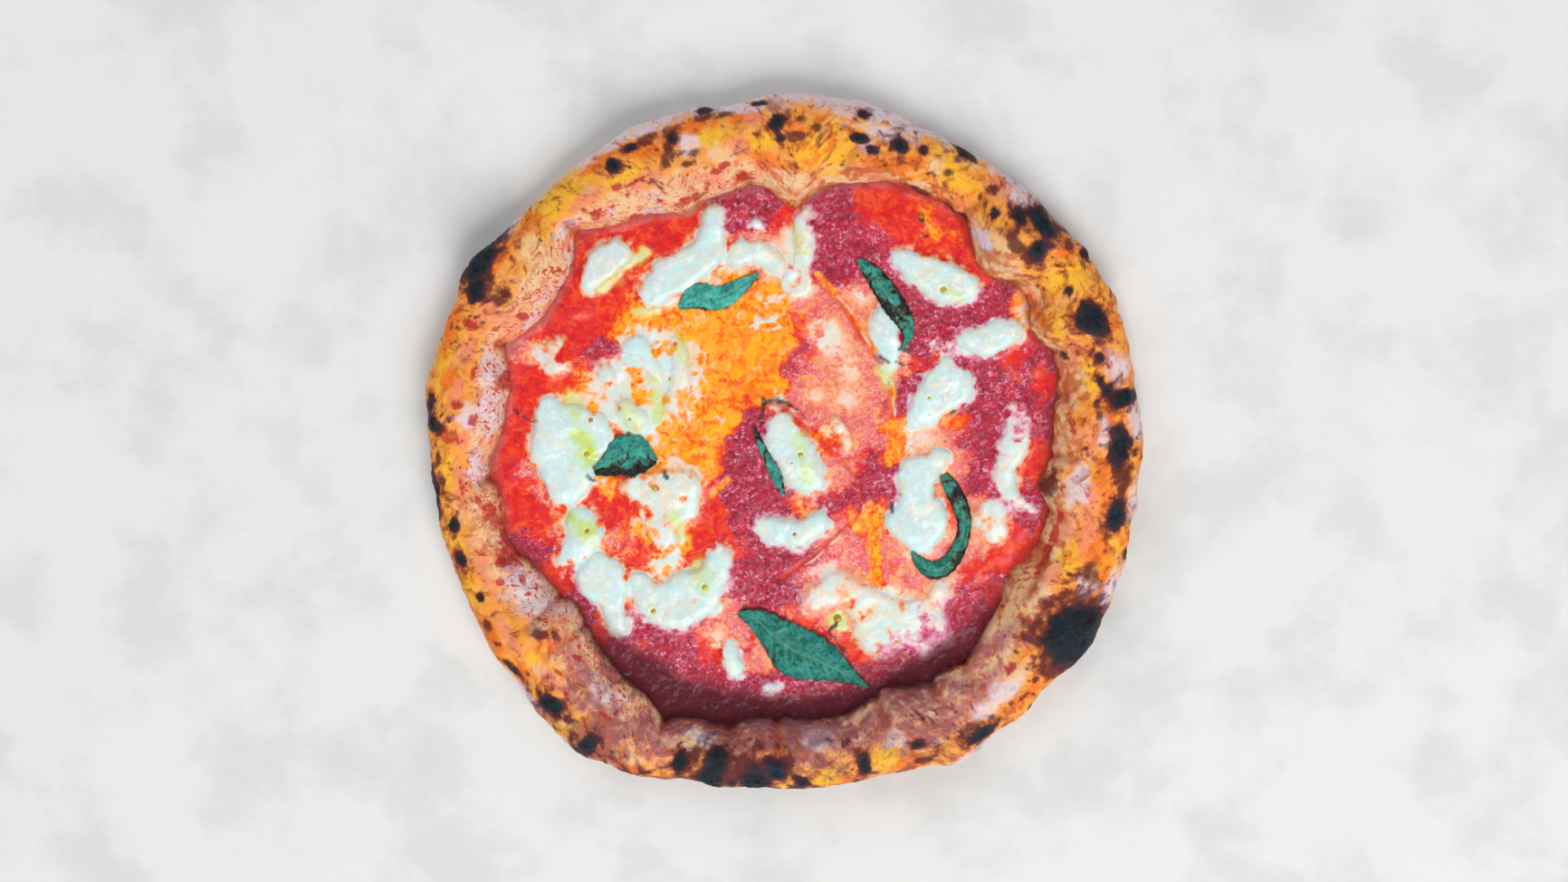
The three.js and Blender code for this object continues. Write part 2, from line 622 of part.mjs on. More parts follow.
// A basil leaf: a thin wavy solid draped over what lies below it
function makeLeaf(leaf, heightAt) {
  const curve = new THREE.CatmullRomCurve3(leaf.spine.map(([x, y]) => new THREE.Vector3(x, y, 0)));
  const sheet = [];
  const shape = [];
  for (let step = 0; step <= LEAF_STEPS; step++) {
    const share = step / LEAF_STEPS;
    const middle = curve.getPoint(share);
    const tangent = curve.getTangent(share);
    for (let strip = 0; strip <= LEAF_STRIPS; strip++) {
      const side = (2 * strip) / LEAF_STRIPS - 1;
      const width = smoothValue(side < 0 ? leaf.right : leaf.left, share) * side;
      const x = middle.x - tangent.y * width;
      const y = middle.y + tangent.x * width;
      const arch = leaf.arch * Math.sin(Math.PI * share) * (1 - side * side);
      const rippled = LEAF_WAVES.height + waves(LEAF_WAVES, LEAF_SEED, x, y);
      shape.push(arch + leaf.curl * side * side + rippled);
      sheet.push([x, y, heightAt(x, y) + GAP]);
    }
  }
  const index = (step, strip) => step * (LEAF_STRIPS + 1) + strip;
  const faces = [];
  for (let step = 0; step < LEAF_STEPS; step++) {
    for (let strip = 0; strip < LEAF_STRIPS; strip++) {
      const a = index(step, strip);
      const b = index(step + 1, strip);
      const c = index(step + 1, strip + 1);
      const d = index(step, strip + 1);
      faces.push([a, b, c], [a, c, d]);
    }
  }
  raiseClear(sheet, faces, heightAt);
  sheet.forEach((point, i) => {
    point[2] += shape[i];
  });
  return thicken(`basil_${leaf.name}`, looks.basil, sheet, faces, () => LEAF_THICKNESS);
}

// Raises the corners of each face until the whole face clears what lies below it
function raiseClear(sheet, faces, heightAt) {
  const samples = 5;
  for (let round = 0; round < 12; round++) {
    for (const face of faces) {
      const [a, b, c] = face.map((i) => sheet[i]);
      let lack = 0;
      for (let i = 0; i <= samples; i++) {
        for (let j = 0; i + j <= samples; j++) {
          const u = i / samples;
          const v = j / samples;
          const w = 1 - u - v;
          const [x, y, z] = [0, 1, 2].map((axis) => u * a[axis] + v * b[axis] + w * c[axis]);
          lack = Math.max(lack, heightAt(x, y) + GAP - z);
        }
      }
      for (const corner of [a, b, c]) corner[2] += lack;
    }
  }
}

const surface = makeToppedSurface();
const crust = makeCrust();
const sauce = makeSauce(surface);
const taken = surface.points.map(() => -Infinity);
const cheese = mozzarellaPieces.map((piece) => makeMozzarella(piece, surface, taken));
const heightAt = makeHeightFinder([sauce, ...cheese]);
const basil = basilLeaves.map((leaf) => makeLeaf(leaf, heightAt));

const pizza = new THREE.Group();
pizza.add(crust, sauce, ...cheese, ...basil);

// The origin goes below the middle of the crust's outline.
crust.geometry.computeBoundingBox();
const middle = crust.geometry.boundingBox.getCenter(new THREE.Vector3());
for (const mesh of pizza.children) {
  mesh.position.set(-middle.x, -middle.y, 0);
}

export default pizza;
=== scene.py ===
"""The looks of a whole margherita pizza: crust, sauce, melted mozzarella, basil and olive oil."""

import functools
import json
import math

import bpy
import numpy as np
from bpy.props import FloatProperty, FloatVectorProperty, IntProperty, PointerProperty
from bpy.types import Operator, Panel, PropertyGroup
from mathutils import Matrix, Vector
from mathutils.bvhtree import BVHTree


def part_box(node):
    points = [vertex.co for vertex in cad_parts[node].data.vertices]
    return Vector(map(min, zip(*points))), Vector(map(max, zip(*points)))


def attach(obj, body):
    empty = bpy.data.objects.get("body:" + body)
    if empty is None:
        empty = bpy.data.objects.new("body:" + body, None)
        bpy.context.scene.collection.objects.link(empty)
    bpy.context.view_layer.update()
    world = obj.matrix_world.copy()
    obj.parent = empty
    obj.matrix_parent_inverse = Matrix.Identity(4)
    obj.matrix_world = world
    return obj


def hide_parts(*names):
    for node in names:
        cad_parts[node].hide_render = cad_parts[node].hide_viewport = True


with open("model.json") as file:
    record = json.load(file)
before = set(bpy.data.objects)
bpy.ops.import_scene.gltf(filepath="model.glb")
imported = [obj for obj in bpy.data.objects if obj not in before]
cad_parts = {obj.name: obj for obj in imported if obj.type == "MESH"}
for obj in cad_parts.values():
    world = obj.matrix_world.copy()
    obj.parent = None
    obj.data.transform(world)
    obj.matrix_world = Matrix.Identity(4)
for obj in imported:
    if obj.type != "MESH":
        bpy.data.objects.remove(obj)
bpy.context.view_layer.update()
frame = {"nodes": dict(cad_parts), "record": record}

bl_info = {
    "name": "Margherita pizza",
    "version": (1, 0, 0),
    "blender": (4, 5, 0),
    "location": "3D View > Sidebar > Pizza",
    "description": "Bakes, tops and lights a margherita pizza around its CAD solids",
    "category": "Add Mesh",
}

# Lengths in this file are in millimetres, counted from the CAD origin, and become metres in a mesh.
MM = 0.001

# Fineness of the surfaces
RIM_TURNS = 840
RIM_ARCS = 104
TOPPING_CELL = 0.7
LEAF_ROWS = 80
LEAF_COLUMNS = 32

# The section of the rim is read from a point inside the dough, from the sauce over the crest to
# the underside, as angles in degrees.
SECTION_HEIGHT = 9.0
SECTION_START = 193.0
SECTION_END = -90.0

# Radius of the rim's crest, round which the grain of the crust is drawn out
CREST_RADIUS = 138.0

# How far the facets of the CAD rim are smoothed away, in cells round the rim and over its section
FACET_BLUR_TURNS = 3.6
FACET_BLUR_ARCS = 3

# The side of the pizza that lies in shade, in degrees from +X
SHADED_SIDE = 268

# Height of the sauce's flat underside, inside the dough
SAUCE_FLOOR = 4.35

# Height of the dough under the sauce
BASE_HEIGHT = 4.0

# Half the width of a leaf where it is narrowest, and how far a leaf lies over what is under it
NARROWEST_LEAF = 0.35
LEAF_LIFT = 0.55

# What the middle of the view looks at
VIEW_TARGET = (0.2, 1.9, 8.0)

# Floor, lamps and sky, in metres and watts. Lamps: name, place, size, power, colour.
FLOOR_HALF = 3.0
FLOOR_HEIGHT = -0.0002
LAMPS = (
    ("window", (0.85, -1.7, 2.3), 2.2, 80.0, (1.0, 0.98, 0.96)),
    ("bounce", (-1.2, 2.0, 1.9), 2.6, 34.0, (0.93, 0.96, 1.0)),
)
WORLD_COLOUR = (0.92, 0.95, 1.0)
WORLD_STRENGTH = 0.34

SEED = 7


def srgb(red, green, blue):
    """A colour as it looks on a screen, 0 to 255, as linear values."""
    values = np.array([red, green, blue]) / 255.0
    linear = np.where(values <= 0.04045, values / 12.92, ((values + 0.055) / 1.055) ** 2.4)
    return tuple(float(value) for value in linear)


# Charred spots of the rim: degrees from +X, distance from the middle, half the length along the
# rim, half the width across it, strength.
CHAR_SPOTS = (
    (1, 146.5, 9, 5, 1.0), (9, 150, 3.4, 6, 1.1), (10.5, 143.5, 3.6, 3.6, 0.9),
    (12.5, 141.5, 3, 2, 0.7), (16.5, 144, 3, 2, 0.8), (23, 146.4, 8, 5.2, 1.4),
    (23.6, 141, 3.6, 2.2, 0.9), (29.5, 142, 2, 2, 0.6), (33, 155.5, 3.5, 1.6, 0.9),
    (41.5, 150, 8.5, 4.2, 1.3), (45, 144.5, 5, 3.6, 1.0), (48.5, 138.5, 2.2, 3, 0.7),
    (38.5, 141, 4.6, 4.4, 0.9), (58.5, 151, 5, 1.8, 0.8), (65, 144, 2, 2.4, 0.8),
    (69, 141.5, 4.4, 3.4, 0.9), (76.5, 149.8, 2.6, 2, 0.9), (76.5, 139.8, 3.6, 2.2, 0.9),
    (73.5, 136.5, 2.6, 1.4, 0.7), (91, 142.5, 4.4, 4, 1.1), (90.3, 136, 2.2, 2, 0.7),
    (94, 150.6, 3, 1, 0.8), (103, 150.6, 2.6, 1.2, 0.8), (109.5, 144, 2.6, 2.6, 0.8),
    (116.5, 147, 3.2, 2, 1.0), (120.5, 143.6, 3, 3.2, 1.1), (147.5, 155.5, 12, 5.4, 1.3),
    (152, 151, 6.5, 4, 0.9), (173, 156, 4.5, 1.6, 0.8), (176, 153.6, 3, 3.8, 1.1),
    (187, 154.5, 10, 1.7, 0.9), (193.5, 149, 3, 2, 1.0), (199.5, 151.4, 3, 2.2, 0.8),
    (206.5, 149.3, 2.2, 1.6, 0.8), (219.5, 155, 4, 1.2, 0.8), (228, 153.5, 6.6, 4.4, 1.3),
    (236.8, 158.5, 3.8, 6, 1.2), (257.5, 151, 5.6, 10, 1.5), (258, 142, 4.8, 6.4, 1.3),
    (265.5, 149, 6.5, 9, 1.3), (268.5, 142, 5, 6.5, 0.9), (252, 147, 3.5, 6, 0.8),
    (273, 150, 4, 4, 0.8), (261.5, 152, 3, 3, 0.7), (284.5, 144.8, 2.8, 5, 1.0),
    (294.6, 143.6, 3, 2.6, 0.7), (305, 154.6, 8, 3.2, 1.0), (327.5, 152.6, 13, 11.5, 2.2),
    (325.5, 143, 7, 4, 1.0), (349, 148.6, 7, 3.8, 1.3), (343, 157.6, 2.6, 1.2, 0.7),
)

# Pigments of the baked dough: degrees from +X, distance from the middle, half the length along
# the rim in degrees, half the width across it.
RIM_PATCHES = {
    "yellow": (
        (25, 130, 3.5, 6), (32, 144, 3, 9), (60, 148, 5, 4), (82, 132, 5.5, 10), (13, 138, 3, 4),
        (58, 140, 5, 4.5), (131, 147, 8, 5.5), (94, 134, 3, 5), (103, 140, 3, 4), (140, 140, 2.5, 6),
        (120, 138, 4, 3), (184, 147, 4, 2.5), (195, 151, 4, 3), (204, 152, 4, 3), (232.5, 156, 2.3, 8),
        (220, 146, 1.2, 5), (274, 150, 6, 4), (278, 144, 3, 3.5), (288, 144, 3, 6), (341, 150, 5, 6),
        (338.5, 134, 3, 5.5), (359, 154, 2, 2), (296, 150, 4, 4), (165, 153, 5, 2.5),
    ),
    "orange": (
        (6, 143, 4, 3), (30, 126, 4, 3), (55, 128, 4, 6), (65, 138, 4, 3), (70, 132, 4, 3),
        (36, 149, 1.6, 3.5), (21, 154, 1.6, 3.5), (88, 140, 3, 4), (97, 146, 3, 3), (105, 146, 5, 3),
        (113, 143, 4, 4.5), (138, 147, 2.5, 3), (146, 149, 5, 3), (168, 148, 2.5, 4), (160, 154, 5, 3),
        (93, 126, 3, 6), (134, 131, 2, 4.5), (160, 128, 2, 4), (213, 154, 4, 4), (221, 152, 2, 4),
        (243, 159, 6, 3.5), (240, 152, 3, 4), (219.5, 132, 2.6, 5), (283, 151, 3, 3), (293, 151, 4, 4),
        (314, 153, 5, 3), (320.5, 154, 2, 6), (342, 144, 4, 6), (351, 143, 3, 3.5), (356, 140, 4, 4),
        (338, 150, 3, 5), (122, 148, 4, 2.4),
    ),
    "cream": (
        (42, 128, 6, 5), (15, 132, 5, 3), (62, 140, 1.5, 4), (57, 149, 2.5, 2), (112, 124, 5, 7),
        (125, 130, 6, 5), (143, 128, 7, 8), (141, 138, 2.5, 8), (192, 138, 3, 6), (197, 140, 2, 4),
        (222.6, 131, 1.1, 8), (218, 121.5, 3, 1.6), (231, 156, 2, 2), (243, 154, 3, 4),
        (238, 162, 4, 2), (296, 145, 3, 4), (316, 143, 4, 5), (101, 130, 3, 5),
    ),
    "salmon": (
        (3, 134, 3, 5), (20, 134, 3, 3), (50, 148, 3.5, 4.5), (72, 126, 5, 3), (2, 128, 3, 3),
        (15, 128, 4.5, 3), (98, 134, 2, 5), (105, 122, 3.5, 4), (155, 142, 3.5, 5), (155, 130, 3.5, 6),
        (188, 142, 5, 3.5), (202, 142, 6, 3.5), (215, 146, 4, 3), (225, 145, 4, 3), (250, 150, 4, 4.5),
        (262, 140, 4, 6), (266, 134, 3.5, 4.5), (345, 138, 4, 4), (350, 136, 4, 3.5), (335, 130, 3, 4),
        (345, 128, 3, 4), (313, 127, 4, 3), (163, 144, 3, 4), (170, 144, 3, 3), (178, 140, 3, 3),
        (128, 138, 4, 3), (116, 132, 4, 3), (95, 145, 2, 3),
    ),
    "mauve": (
        (232, 142, 7, 5), (240, 144, 6, 6.5), (248, 142, 4.5, 6.5), (275, 138, 6.5, 4.5),
        (300, 140, 8, 9), (310, 138, 8, 6), (325, 134, 6.5, 5), (283, 134, 8, 5), (296, 130, 4, 8),
        (318, 128, 6, 4), (16, 147, 3, 3), (205, 132, 4, 4), (226, 132, 4, 5),
    ),
    "lavender": (
        (5, 154, 3.5, 4), (14, 150, 3, 5.5), (46, 151, 3.5, 5), (47, 126, 3, 3), (49, 153, 2, 3),
        (76, 152, 14, 4.5), (72, 145, 5, 3), (75, 138, 1.3, 3.5), (115, 152, 11, 2.5),
        (97, 150, 5, 2.5), (141, 154, 3, 3), (107, 138, 1.6, 5), (134, 135, 3, 3), (165, 132, 4, 6),
        (172, 130, 5, 6), (174, 138, 2.5, 4), (184, 135, 3.5, 4.5), (209.5, 131, 5.5, 8),
        (213, 127, 2.5, 5), (234, 134, 4.5, 4), (225, 159, 4, 2), (255, 134, 5, 3), (303, 161, 5, 2.5),
        (308, 146, 2.5, 4), (313, 145, 3, 5), (336, 157, 5, 3.5), (336, 146, 2, 5), (352, 155, 4, 3),
        (291.5, 136, 2, 5), (277, 130, 3.5, 5), (353, 130, 4.5, 5), (3, 140, 3, 3.5),
    ),
    "red": (
        (101.5, 126.5, 1.3, 1.8), (103.5, 124.5, 1.1, 1.8), (106, 120, 1.2, 2.5),
        (128.5, 131, 1.5, 2.6), (129.5, 135, 0.9, 2), (124, 119, 3, 2), (158.5, 146, 1, 3.4),
        (157.5, 136, 1, 2), (150.5, 139, 0.9, 2.2), (153, 128, 0.9, 3.5), (172, 143, 1, 3),
        (174.5, 135.5, 1.1, 2.5), (178, 145, 2, 5), (166, 139, 1.6, 1.6), (189.5, 136, 0.8, 1.8),
        (187, 142, 2, 1.6), (202, 134, 1.3, 2.2), (205.5, 138, 0.9, 1.8), (228.5, 145, 0.8, 1.6),
        (225, 140, 1.2, 1.2), (236, 142, 1.4, 1.2), (226, 130, 1.2, 1.6), (207, 129, 0.9, 1.3),
        (118, 133, 4, 0.8), (122, 135, 1.1, 2), (98, 120, 2, 2), (5, 127, 2, 2), (316, 139, 2, 2.4),
        (194, 131, 3.5, 4), (200, 128, 4, 6), (167, 126, 2, 4), (340, 125, 8, 1.6), (185, 127, 2, 3),
        (110, 116, 4, 2),
    ),
    "toast": (
        (29.5, 142, 0.9, 1.6), (36, 153, 1, 2), (41, 135, 4, 3), (51.5, 145.5, 1.1, 2.4),
        (58.5, 151, 2.2, 1.4), (59.5, 140, 0.9, 2), (65, 144.5, 0.8, 2.4), (18.5, 129, 0.9, 1.7),
        (73, 136, 1.2, 1.8), (84, 141, 1, 2), (87, 144, 1.3, 1.8), (88, 137, 3, 2.4),
        (103, 148, 2.5, 1.4), (110.5, 139, 1, 5), (112, 134, 1.2, 3), (114, 147, 2.5, 2),
        (106.5, 135, 1.1, 2), (108, 131, 1.4, 1.6), (151.5, 146, 2.8, 2.6), (151, 140, 2, 5),
        (181.5, 151.5, 1.1, 1.4), (185.5, 150.5, 1.1, 1.2), (211, 153, 1.2, 1.8), (231.5, 154, 1, 1.8),
        (241, 155, 1, 1.8), (217.6, 133, 1.4, 3), (219.5, 129, 1.2, 1.6), (254, 142, 1.4, 6),
        (262, 144, 3, 9), (265, 152, 4, 3), (295, 152, 2.2, 2), (271, 140, 1.4, 4), (303, 150, 2, 3),
        (314, 153, 1.2, 1.4), (332, 147, 1.7, 8), (338, 146, 1.8, 5), (356, 149, 3.2, 4),
        (352, 118, 3, 4), (100, 147.5, 1.6, 1.4), (8, 138, 2, 2), (54, 127, 3, 3), (62, 127, 3, 1.6),
    ),
}

# Folds between the lobes of the rim, each a stretch between two places given as degrees and
# distance, with its depth.
RIM_FOLDS = (
    (49, 119, 52.5, 128, 1.6), (52.5, 128, 51.5, 140, 1.2), (37, 118, 35, 130, 1.0),
    (77.5, 126, 76, 136, 1.1), (96.5, 112, 99, 121, 1.2), (134, 122, 133.5, 135, 1.8),
    (160, 121, 160, 132, 1.8), (186, 124, 187, 133, 1.2), (203, 123, 202, 134, 1.2),
    (214.5, 117, 215, 138, 1.2), (222.5, 118, 221.5, 139, 1.2), (247, 124, 247, 138, 1.8),
    (259.5, 126, 259, 136, 1.2), (268.5, 121, 270, 138, 1.6), (290, 117, 290.5, 130, 1.6),
    (301.5, 117, 302, 133, 1.8), (310, 122, 309, 134, 1.0), (329, 125, 339, 124, 1.6),
    (347, 112, 346, 125, 1.2), (358, 112, 358.5, 124, 1.2), (10, 115, 10.5, 124, 1.2),
    (20, 119, 19.5, 129, 1.0), (29.5, 118, 30, 129, 1.0), (109, 113, 109.5, 126, 0.6),
)

# Round swellings of the rim: degrees from +X, distance from the middle, radius and rise
RIM_SWELLINGS = (
    (219.3, 131, 10.5, 2.6), (295, 129, 9, 1.8), (42, 134, 12, 1.8), (24, 133, 9, 1.2),
    (84, 131, 12, 1.3), (147, 133, 11, 1.4), (114, 130, 13, 1.2), (174, 134, 11, 1.2),
    (232, 139, 11, 1.6), (254, 139, 9, 1.6), (264, 137, 8, 1.5), (280, 136, 10, 1.4),
    (320, 136, 11, 1.4), (353, 135, 9, 1.2), (338, 138, 7, 1.2), (6, 137, 8, 1.2), (196, 139, 8, 1.2),
    (68, 134, 9, 1.2), (307, 139, 9, 1.4),
)

# What the sauce looks like from place to place: x, y and radius of soft patches
OILY_PATCHES = (
    (-30, 52, 15), (-12, 50, 14), (-16, 62, 10), (-38, 38, 12), (-12, 34, 9), (-20, 24, 7), (17, 45, 4),
    (-48, 6, 11), (-38, -2, 11), (-52, -6, 7), (-30, 12, 8), (-62, 24, 9), (-86, 24, 9), (-70, 54, 8),
    (48, 8, 4.5), (47, -3, 4), (38, -33, 5), (40, -46, 4.5), (40, -56, 4.5), (39, -64, 4.5),
    (64, 97, 6), (74, 90, 5), (107, 62, 6), (-104, 95, 6), (-79, -20, 5), (-66, -42, 5), (10, -27, 5),
    (21, 0, 4), (72, 9, 4), (-52, -50, 5), (-45, -40, 4),
)
RED_PATCHES = (
    (-55, 93, 10), (-48, 98, 9), (-86, 60, 11), (-96, 52, 10), (-71, 63, 7), (-86, 43, 8), (-96, 28, 9),
    (-118, 25, 5), (-121, 4, 6), (-118, -20, 7), (-110, -32, 9), (-120, -36, 6), (-76, -26, 7),
    (-36, -35, 6), (-60, -55, 7), (-32, -22, 5), (42, 102, 11), (54, 98, 8), (-22, 26, 6), (105, 40, 7),
    (112, 26, 6), (104, -12, 6), (-84, -80, 6), (62, 94, 9), (72, 90, 8), (90, -60, 8), (98, -54, 6),
    (20, -4, 5), (-22, -50, 6), (-100, -58, 5), (3, 88, 5), (0, 101, 5), (-35, -92, 6),
)
PULPY_PATCHES = (
    (30, 96, 13), (24, 82, 12), (38, 88, 10), (60, 58, 10), (76, 57, 8), (92, 64, 7), (90, 30, 10),
    (95, 18, 10), (88, 4, 8), (56, 24, 6), (108, 36, 8), (116, 12, 6), (-10, -14, 11), (-19, -19, 9),
    (-5, -27, 9), (20, -27, 7), (-6, -53, 12), (10, -50, 11), (-18, -56, 8), (45, -18, 9), (88, -12, 8),
    (88, -62, 5), (96, -60, 5), (6, 44, 5), (8, 34, 5), (-16, 12, 6), (-14, 3, 5), (-60, -93, 12),
    (-45, -97, 12), (-62, -106, 10), (-35, -109, 10), (-15, -113, 8), (10, -111, 10), (27, -111, 9),
    (-111, -46, 8), (-14, 106, 9), (16, 107, 9), (-84, 38, 6), (-76, 40, 6), (48, 20, 6), (80, -74, 9),
    (70, -84, 9), (60, -100, 9), (-94, -70, 8), (105, -25, 6),
)
MILKY_PATCHES = (
    (22, 46, 14), (15, 62, 9), (28, 56, 9), (30, 32, 12), (16, 24, 10), (36, 20, 9), (40, 10, 8),
    (25, -52, 13), (14, -60, 8), (54, -58, 9), (68, -60, 8), (35, 67, 7), (64, 5, 8), (72, -3, 9),
    (15, -21, 8), (22, -11, 6), (86, -33, 6), (-115, 38, 5), (-62, -91, 4), (5, 92, 7), (-8, 84, 8),
    (-82, 30, 5), (78, -44, 7), (-25, -80, 5), (-8, -96, 5), (-95, -55, 4), (-30, -86, 6),
    (-108, -12, 4), (-106, -24, 4.5), (-103, -35, 4), (-70, -44, 4),
)

# Lacy cheese over the sauce, and gaps in the cheese where oily sauce shows
LACE_PATCHES = (
    (24, 42, 7), (19, 50, 6), (30, 33, 5), (-3, 19, 4), (14, 22, 4), (34, -70, 8), (52, -70, 9),
    (20, -58, 6), (58, -47, 6), (70, -62, 6), (76, 42, 5), (-70, 14, 9), (-60, 42, 8), (-50, 30, 8),
    (-62, 8, 7), (3, 88, 8), (28, 20, 7), (62, 2, 7), (-78, 30, 7), (-30, -88, 5), (-8, 56, 6),
    (84, -34, 6), (-52, -52, 6), (68, 44, 6), (34, 66, 5), (16, 50, 6), (104, 18, 5), (-108, 40, 5),
)
CHEESE_GAPS = (
    (-60, -30, 2.8), (-57, -19, 2.4), (-97, 39, 3.2), (104, 2, 2.2), (-66, 33, 1.8), (-56, 41, 1.6),
    (30, -70, 2.2), (44, -60, 2.0), (52, -72, 1.8), (-70, -60, 2.2), (-40, -70, 2.0), (38, -74, 1.6),
    (66, -57, 2.2), (-44, -24, 2.0), (-95, -52, 1.8), (64, 14, 1.6), (4, 78, 1.8), (-52, 20, 1.6),
    (-76, 80, 1.4), (22, -30, 1.8),
)

# Pools of amber oil: streaks with two ends and a radius
AMBER_STREAKS = (
    (39, -36, 41, -62, 3.0), (47.5, 15, 47, -8, 2.4), (38, -27, 33, -38, 2.4), (62, 101, 66, 92, 3.4),
    (-31, -22, -25, -16, 2.4), (-46, 24, -44, 8, 1.8), (-28, 48, -20, 38, 3.0), (-14, 28, -8, 36, 3.0),
    (14, 76, 22, 68, 2.0), (22, 68, 31, 56, 1.7), (31, 56, 40, 42, 1.5), (48, 26, 47.5, 14, 1.8),
    (-62, -14, -56, -10, 2.2), (-66, 55, -48, 56, 1.2), (-54, -50, -50, -46, 1.8),
    (-20, 62, -8, 58, 3.0),
)

# Cheese so thin that sauce shows through it, with how firm it still is
LACY_CHEESE = {
    "mozzarella_right_low": 0.64, "mozzarella_lace": 0.58, "mozzarella_chain": 0.66,
    "mozzarella_left_ring": 0.7, "mozzarella_cream_middle": 0.76, "mozzarella_small_middle": 0.72,
    "mozzarella_top_ring": 0.85, "mozzarella_beige": 0.85, "mozzarella_right_hook": 0.85,
}

# Dark scraps of burnt leaf and crust: stretches with two ends and half their width
DARK_SCRAPS = (
    (-8, 20.5, -3, 20.5, 1.1), (-3, 20.5, 4, 17, 0.9), (4, 17, 9, 12, 0.6), (-9, 19, -10, 12, 1.1),
    (-115, 11, -111, 10.5, 0.9), (-53, -11, -51, -15, 0.8), (43, 40, 46, 38, 0.8),
    (20, -83, 24, -79, 0.8), (48, -27, 49, -29, 0.8), (20, -84, 27, -92, 0.7),
    (-20, -76, -16, -73, 0.9), (51, 44, 54, 42, 1.0), (-86, -14, -84, -16, 0.8),
    (74, 14, 76, 14.5, 0.8), (60, 101, 61.5, 100, 1.0), (61, 93, 63, 93, 0.8),
    (-119, 15, -118, 13, 0.7), (49, 38, 52, 36, 0.8),
)

# Olive oil that shows lime on the cheese: streaks with two ends, a radius and a strength
LIME_STREAKS = (
    (-80, 69, -62, 85, 4.4, 0.6), (-94, 22, -91, 8, 5.0, 0.5), (-91, 4, -85, -7, 6.0, 1.0),
    (-94, -33, -87, -39, 5.6, 0.9), (-86, -42, -84, -45, 4.0, 0.6), (-49, -32, -45, -42, 4.4, 0.6),
    (-38, -54, -34, -63, 5.4, 0.55), (7, 4, 10, -18, 5.0, 0.55), (4, 96, 8, 86, 4.6, 0.4),
    (71, 70, 76, 66, 4.0, 0.5), (-47, 48, -44, 38, 5.2, 0.5), (-57, 28, -55, 12, 4.4, 0.6),
    (-64, 58, -56, 59, 3.8, 0.5), (44, 33, 46, 27, 4.2, 0.6), (22, -77, 26, -80, 4.0, 0.9),
    (-58, -74, -58, -76, 4.0, 0.5), (-70, 18, -66, 8, 4.4, 0.5),
)

# Bubbles in the cheese with a drop of oil in them: x, y and radius
OIL_BUBBLES = (
    (-85, 11, 1.7), (-68, 11.5, 1.2), (-47.5, 44.5, 1.7), (7.5, -4, 1.8), (5, -39.5, 1.5),
    (-87, -38.5, 1.8), (-35, -63.5, 1.9), (-58, -74.5, 1.7), (70, 69, 2.2), (-57, -19, 2.4),
    (-72, 16, 1.6), (-50, 29, 1.2), (75, 14, 1.4), (43, -31, 1.2), (41, -39, 1.1), (24, -78, 2.6),
    (64, 21.5, 1.3), (60, 101, 1.8), (60, 93, 1.6), (-2, -48, 1.5), (52, -22, 1.3), (-87, -4, 2.0),
    (50, -88, 1.6), (32, -88, 1.8),
)

# Folds in the toppings, as points along each line, with the side that stands up
FOLD_LINES = (
    ((14, 75), (21, 68), (28, 61), (33, 52), (39, 42), (43, 38)),
    ((47, 27), (48.5, 22), (48, 14)),
    ((-8, 20), (-2, 19.5), (5, 14), (13, 7), (21, -1), (29, -9), (34, -17), (36, -25), (33, -33),
     (24, -42), (12, -52), (2, -60)),
)

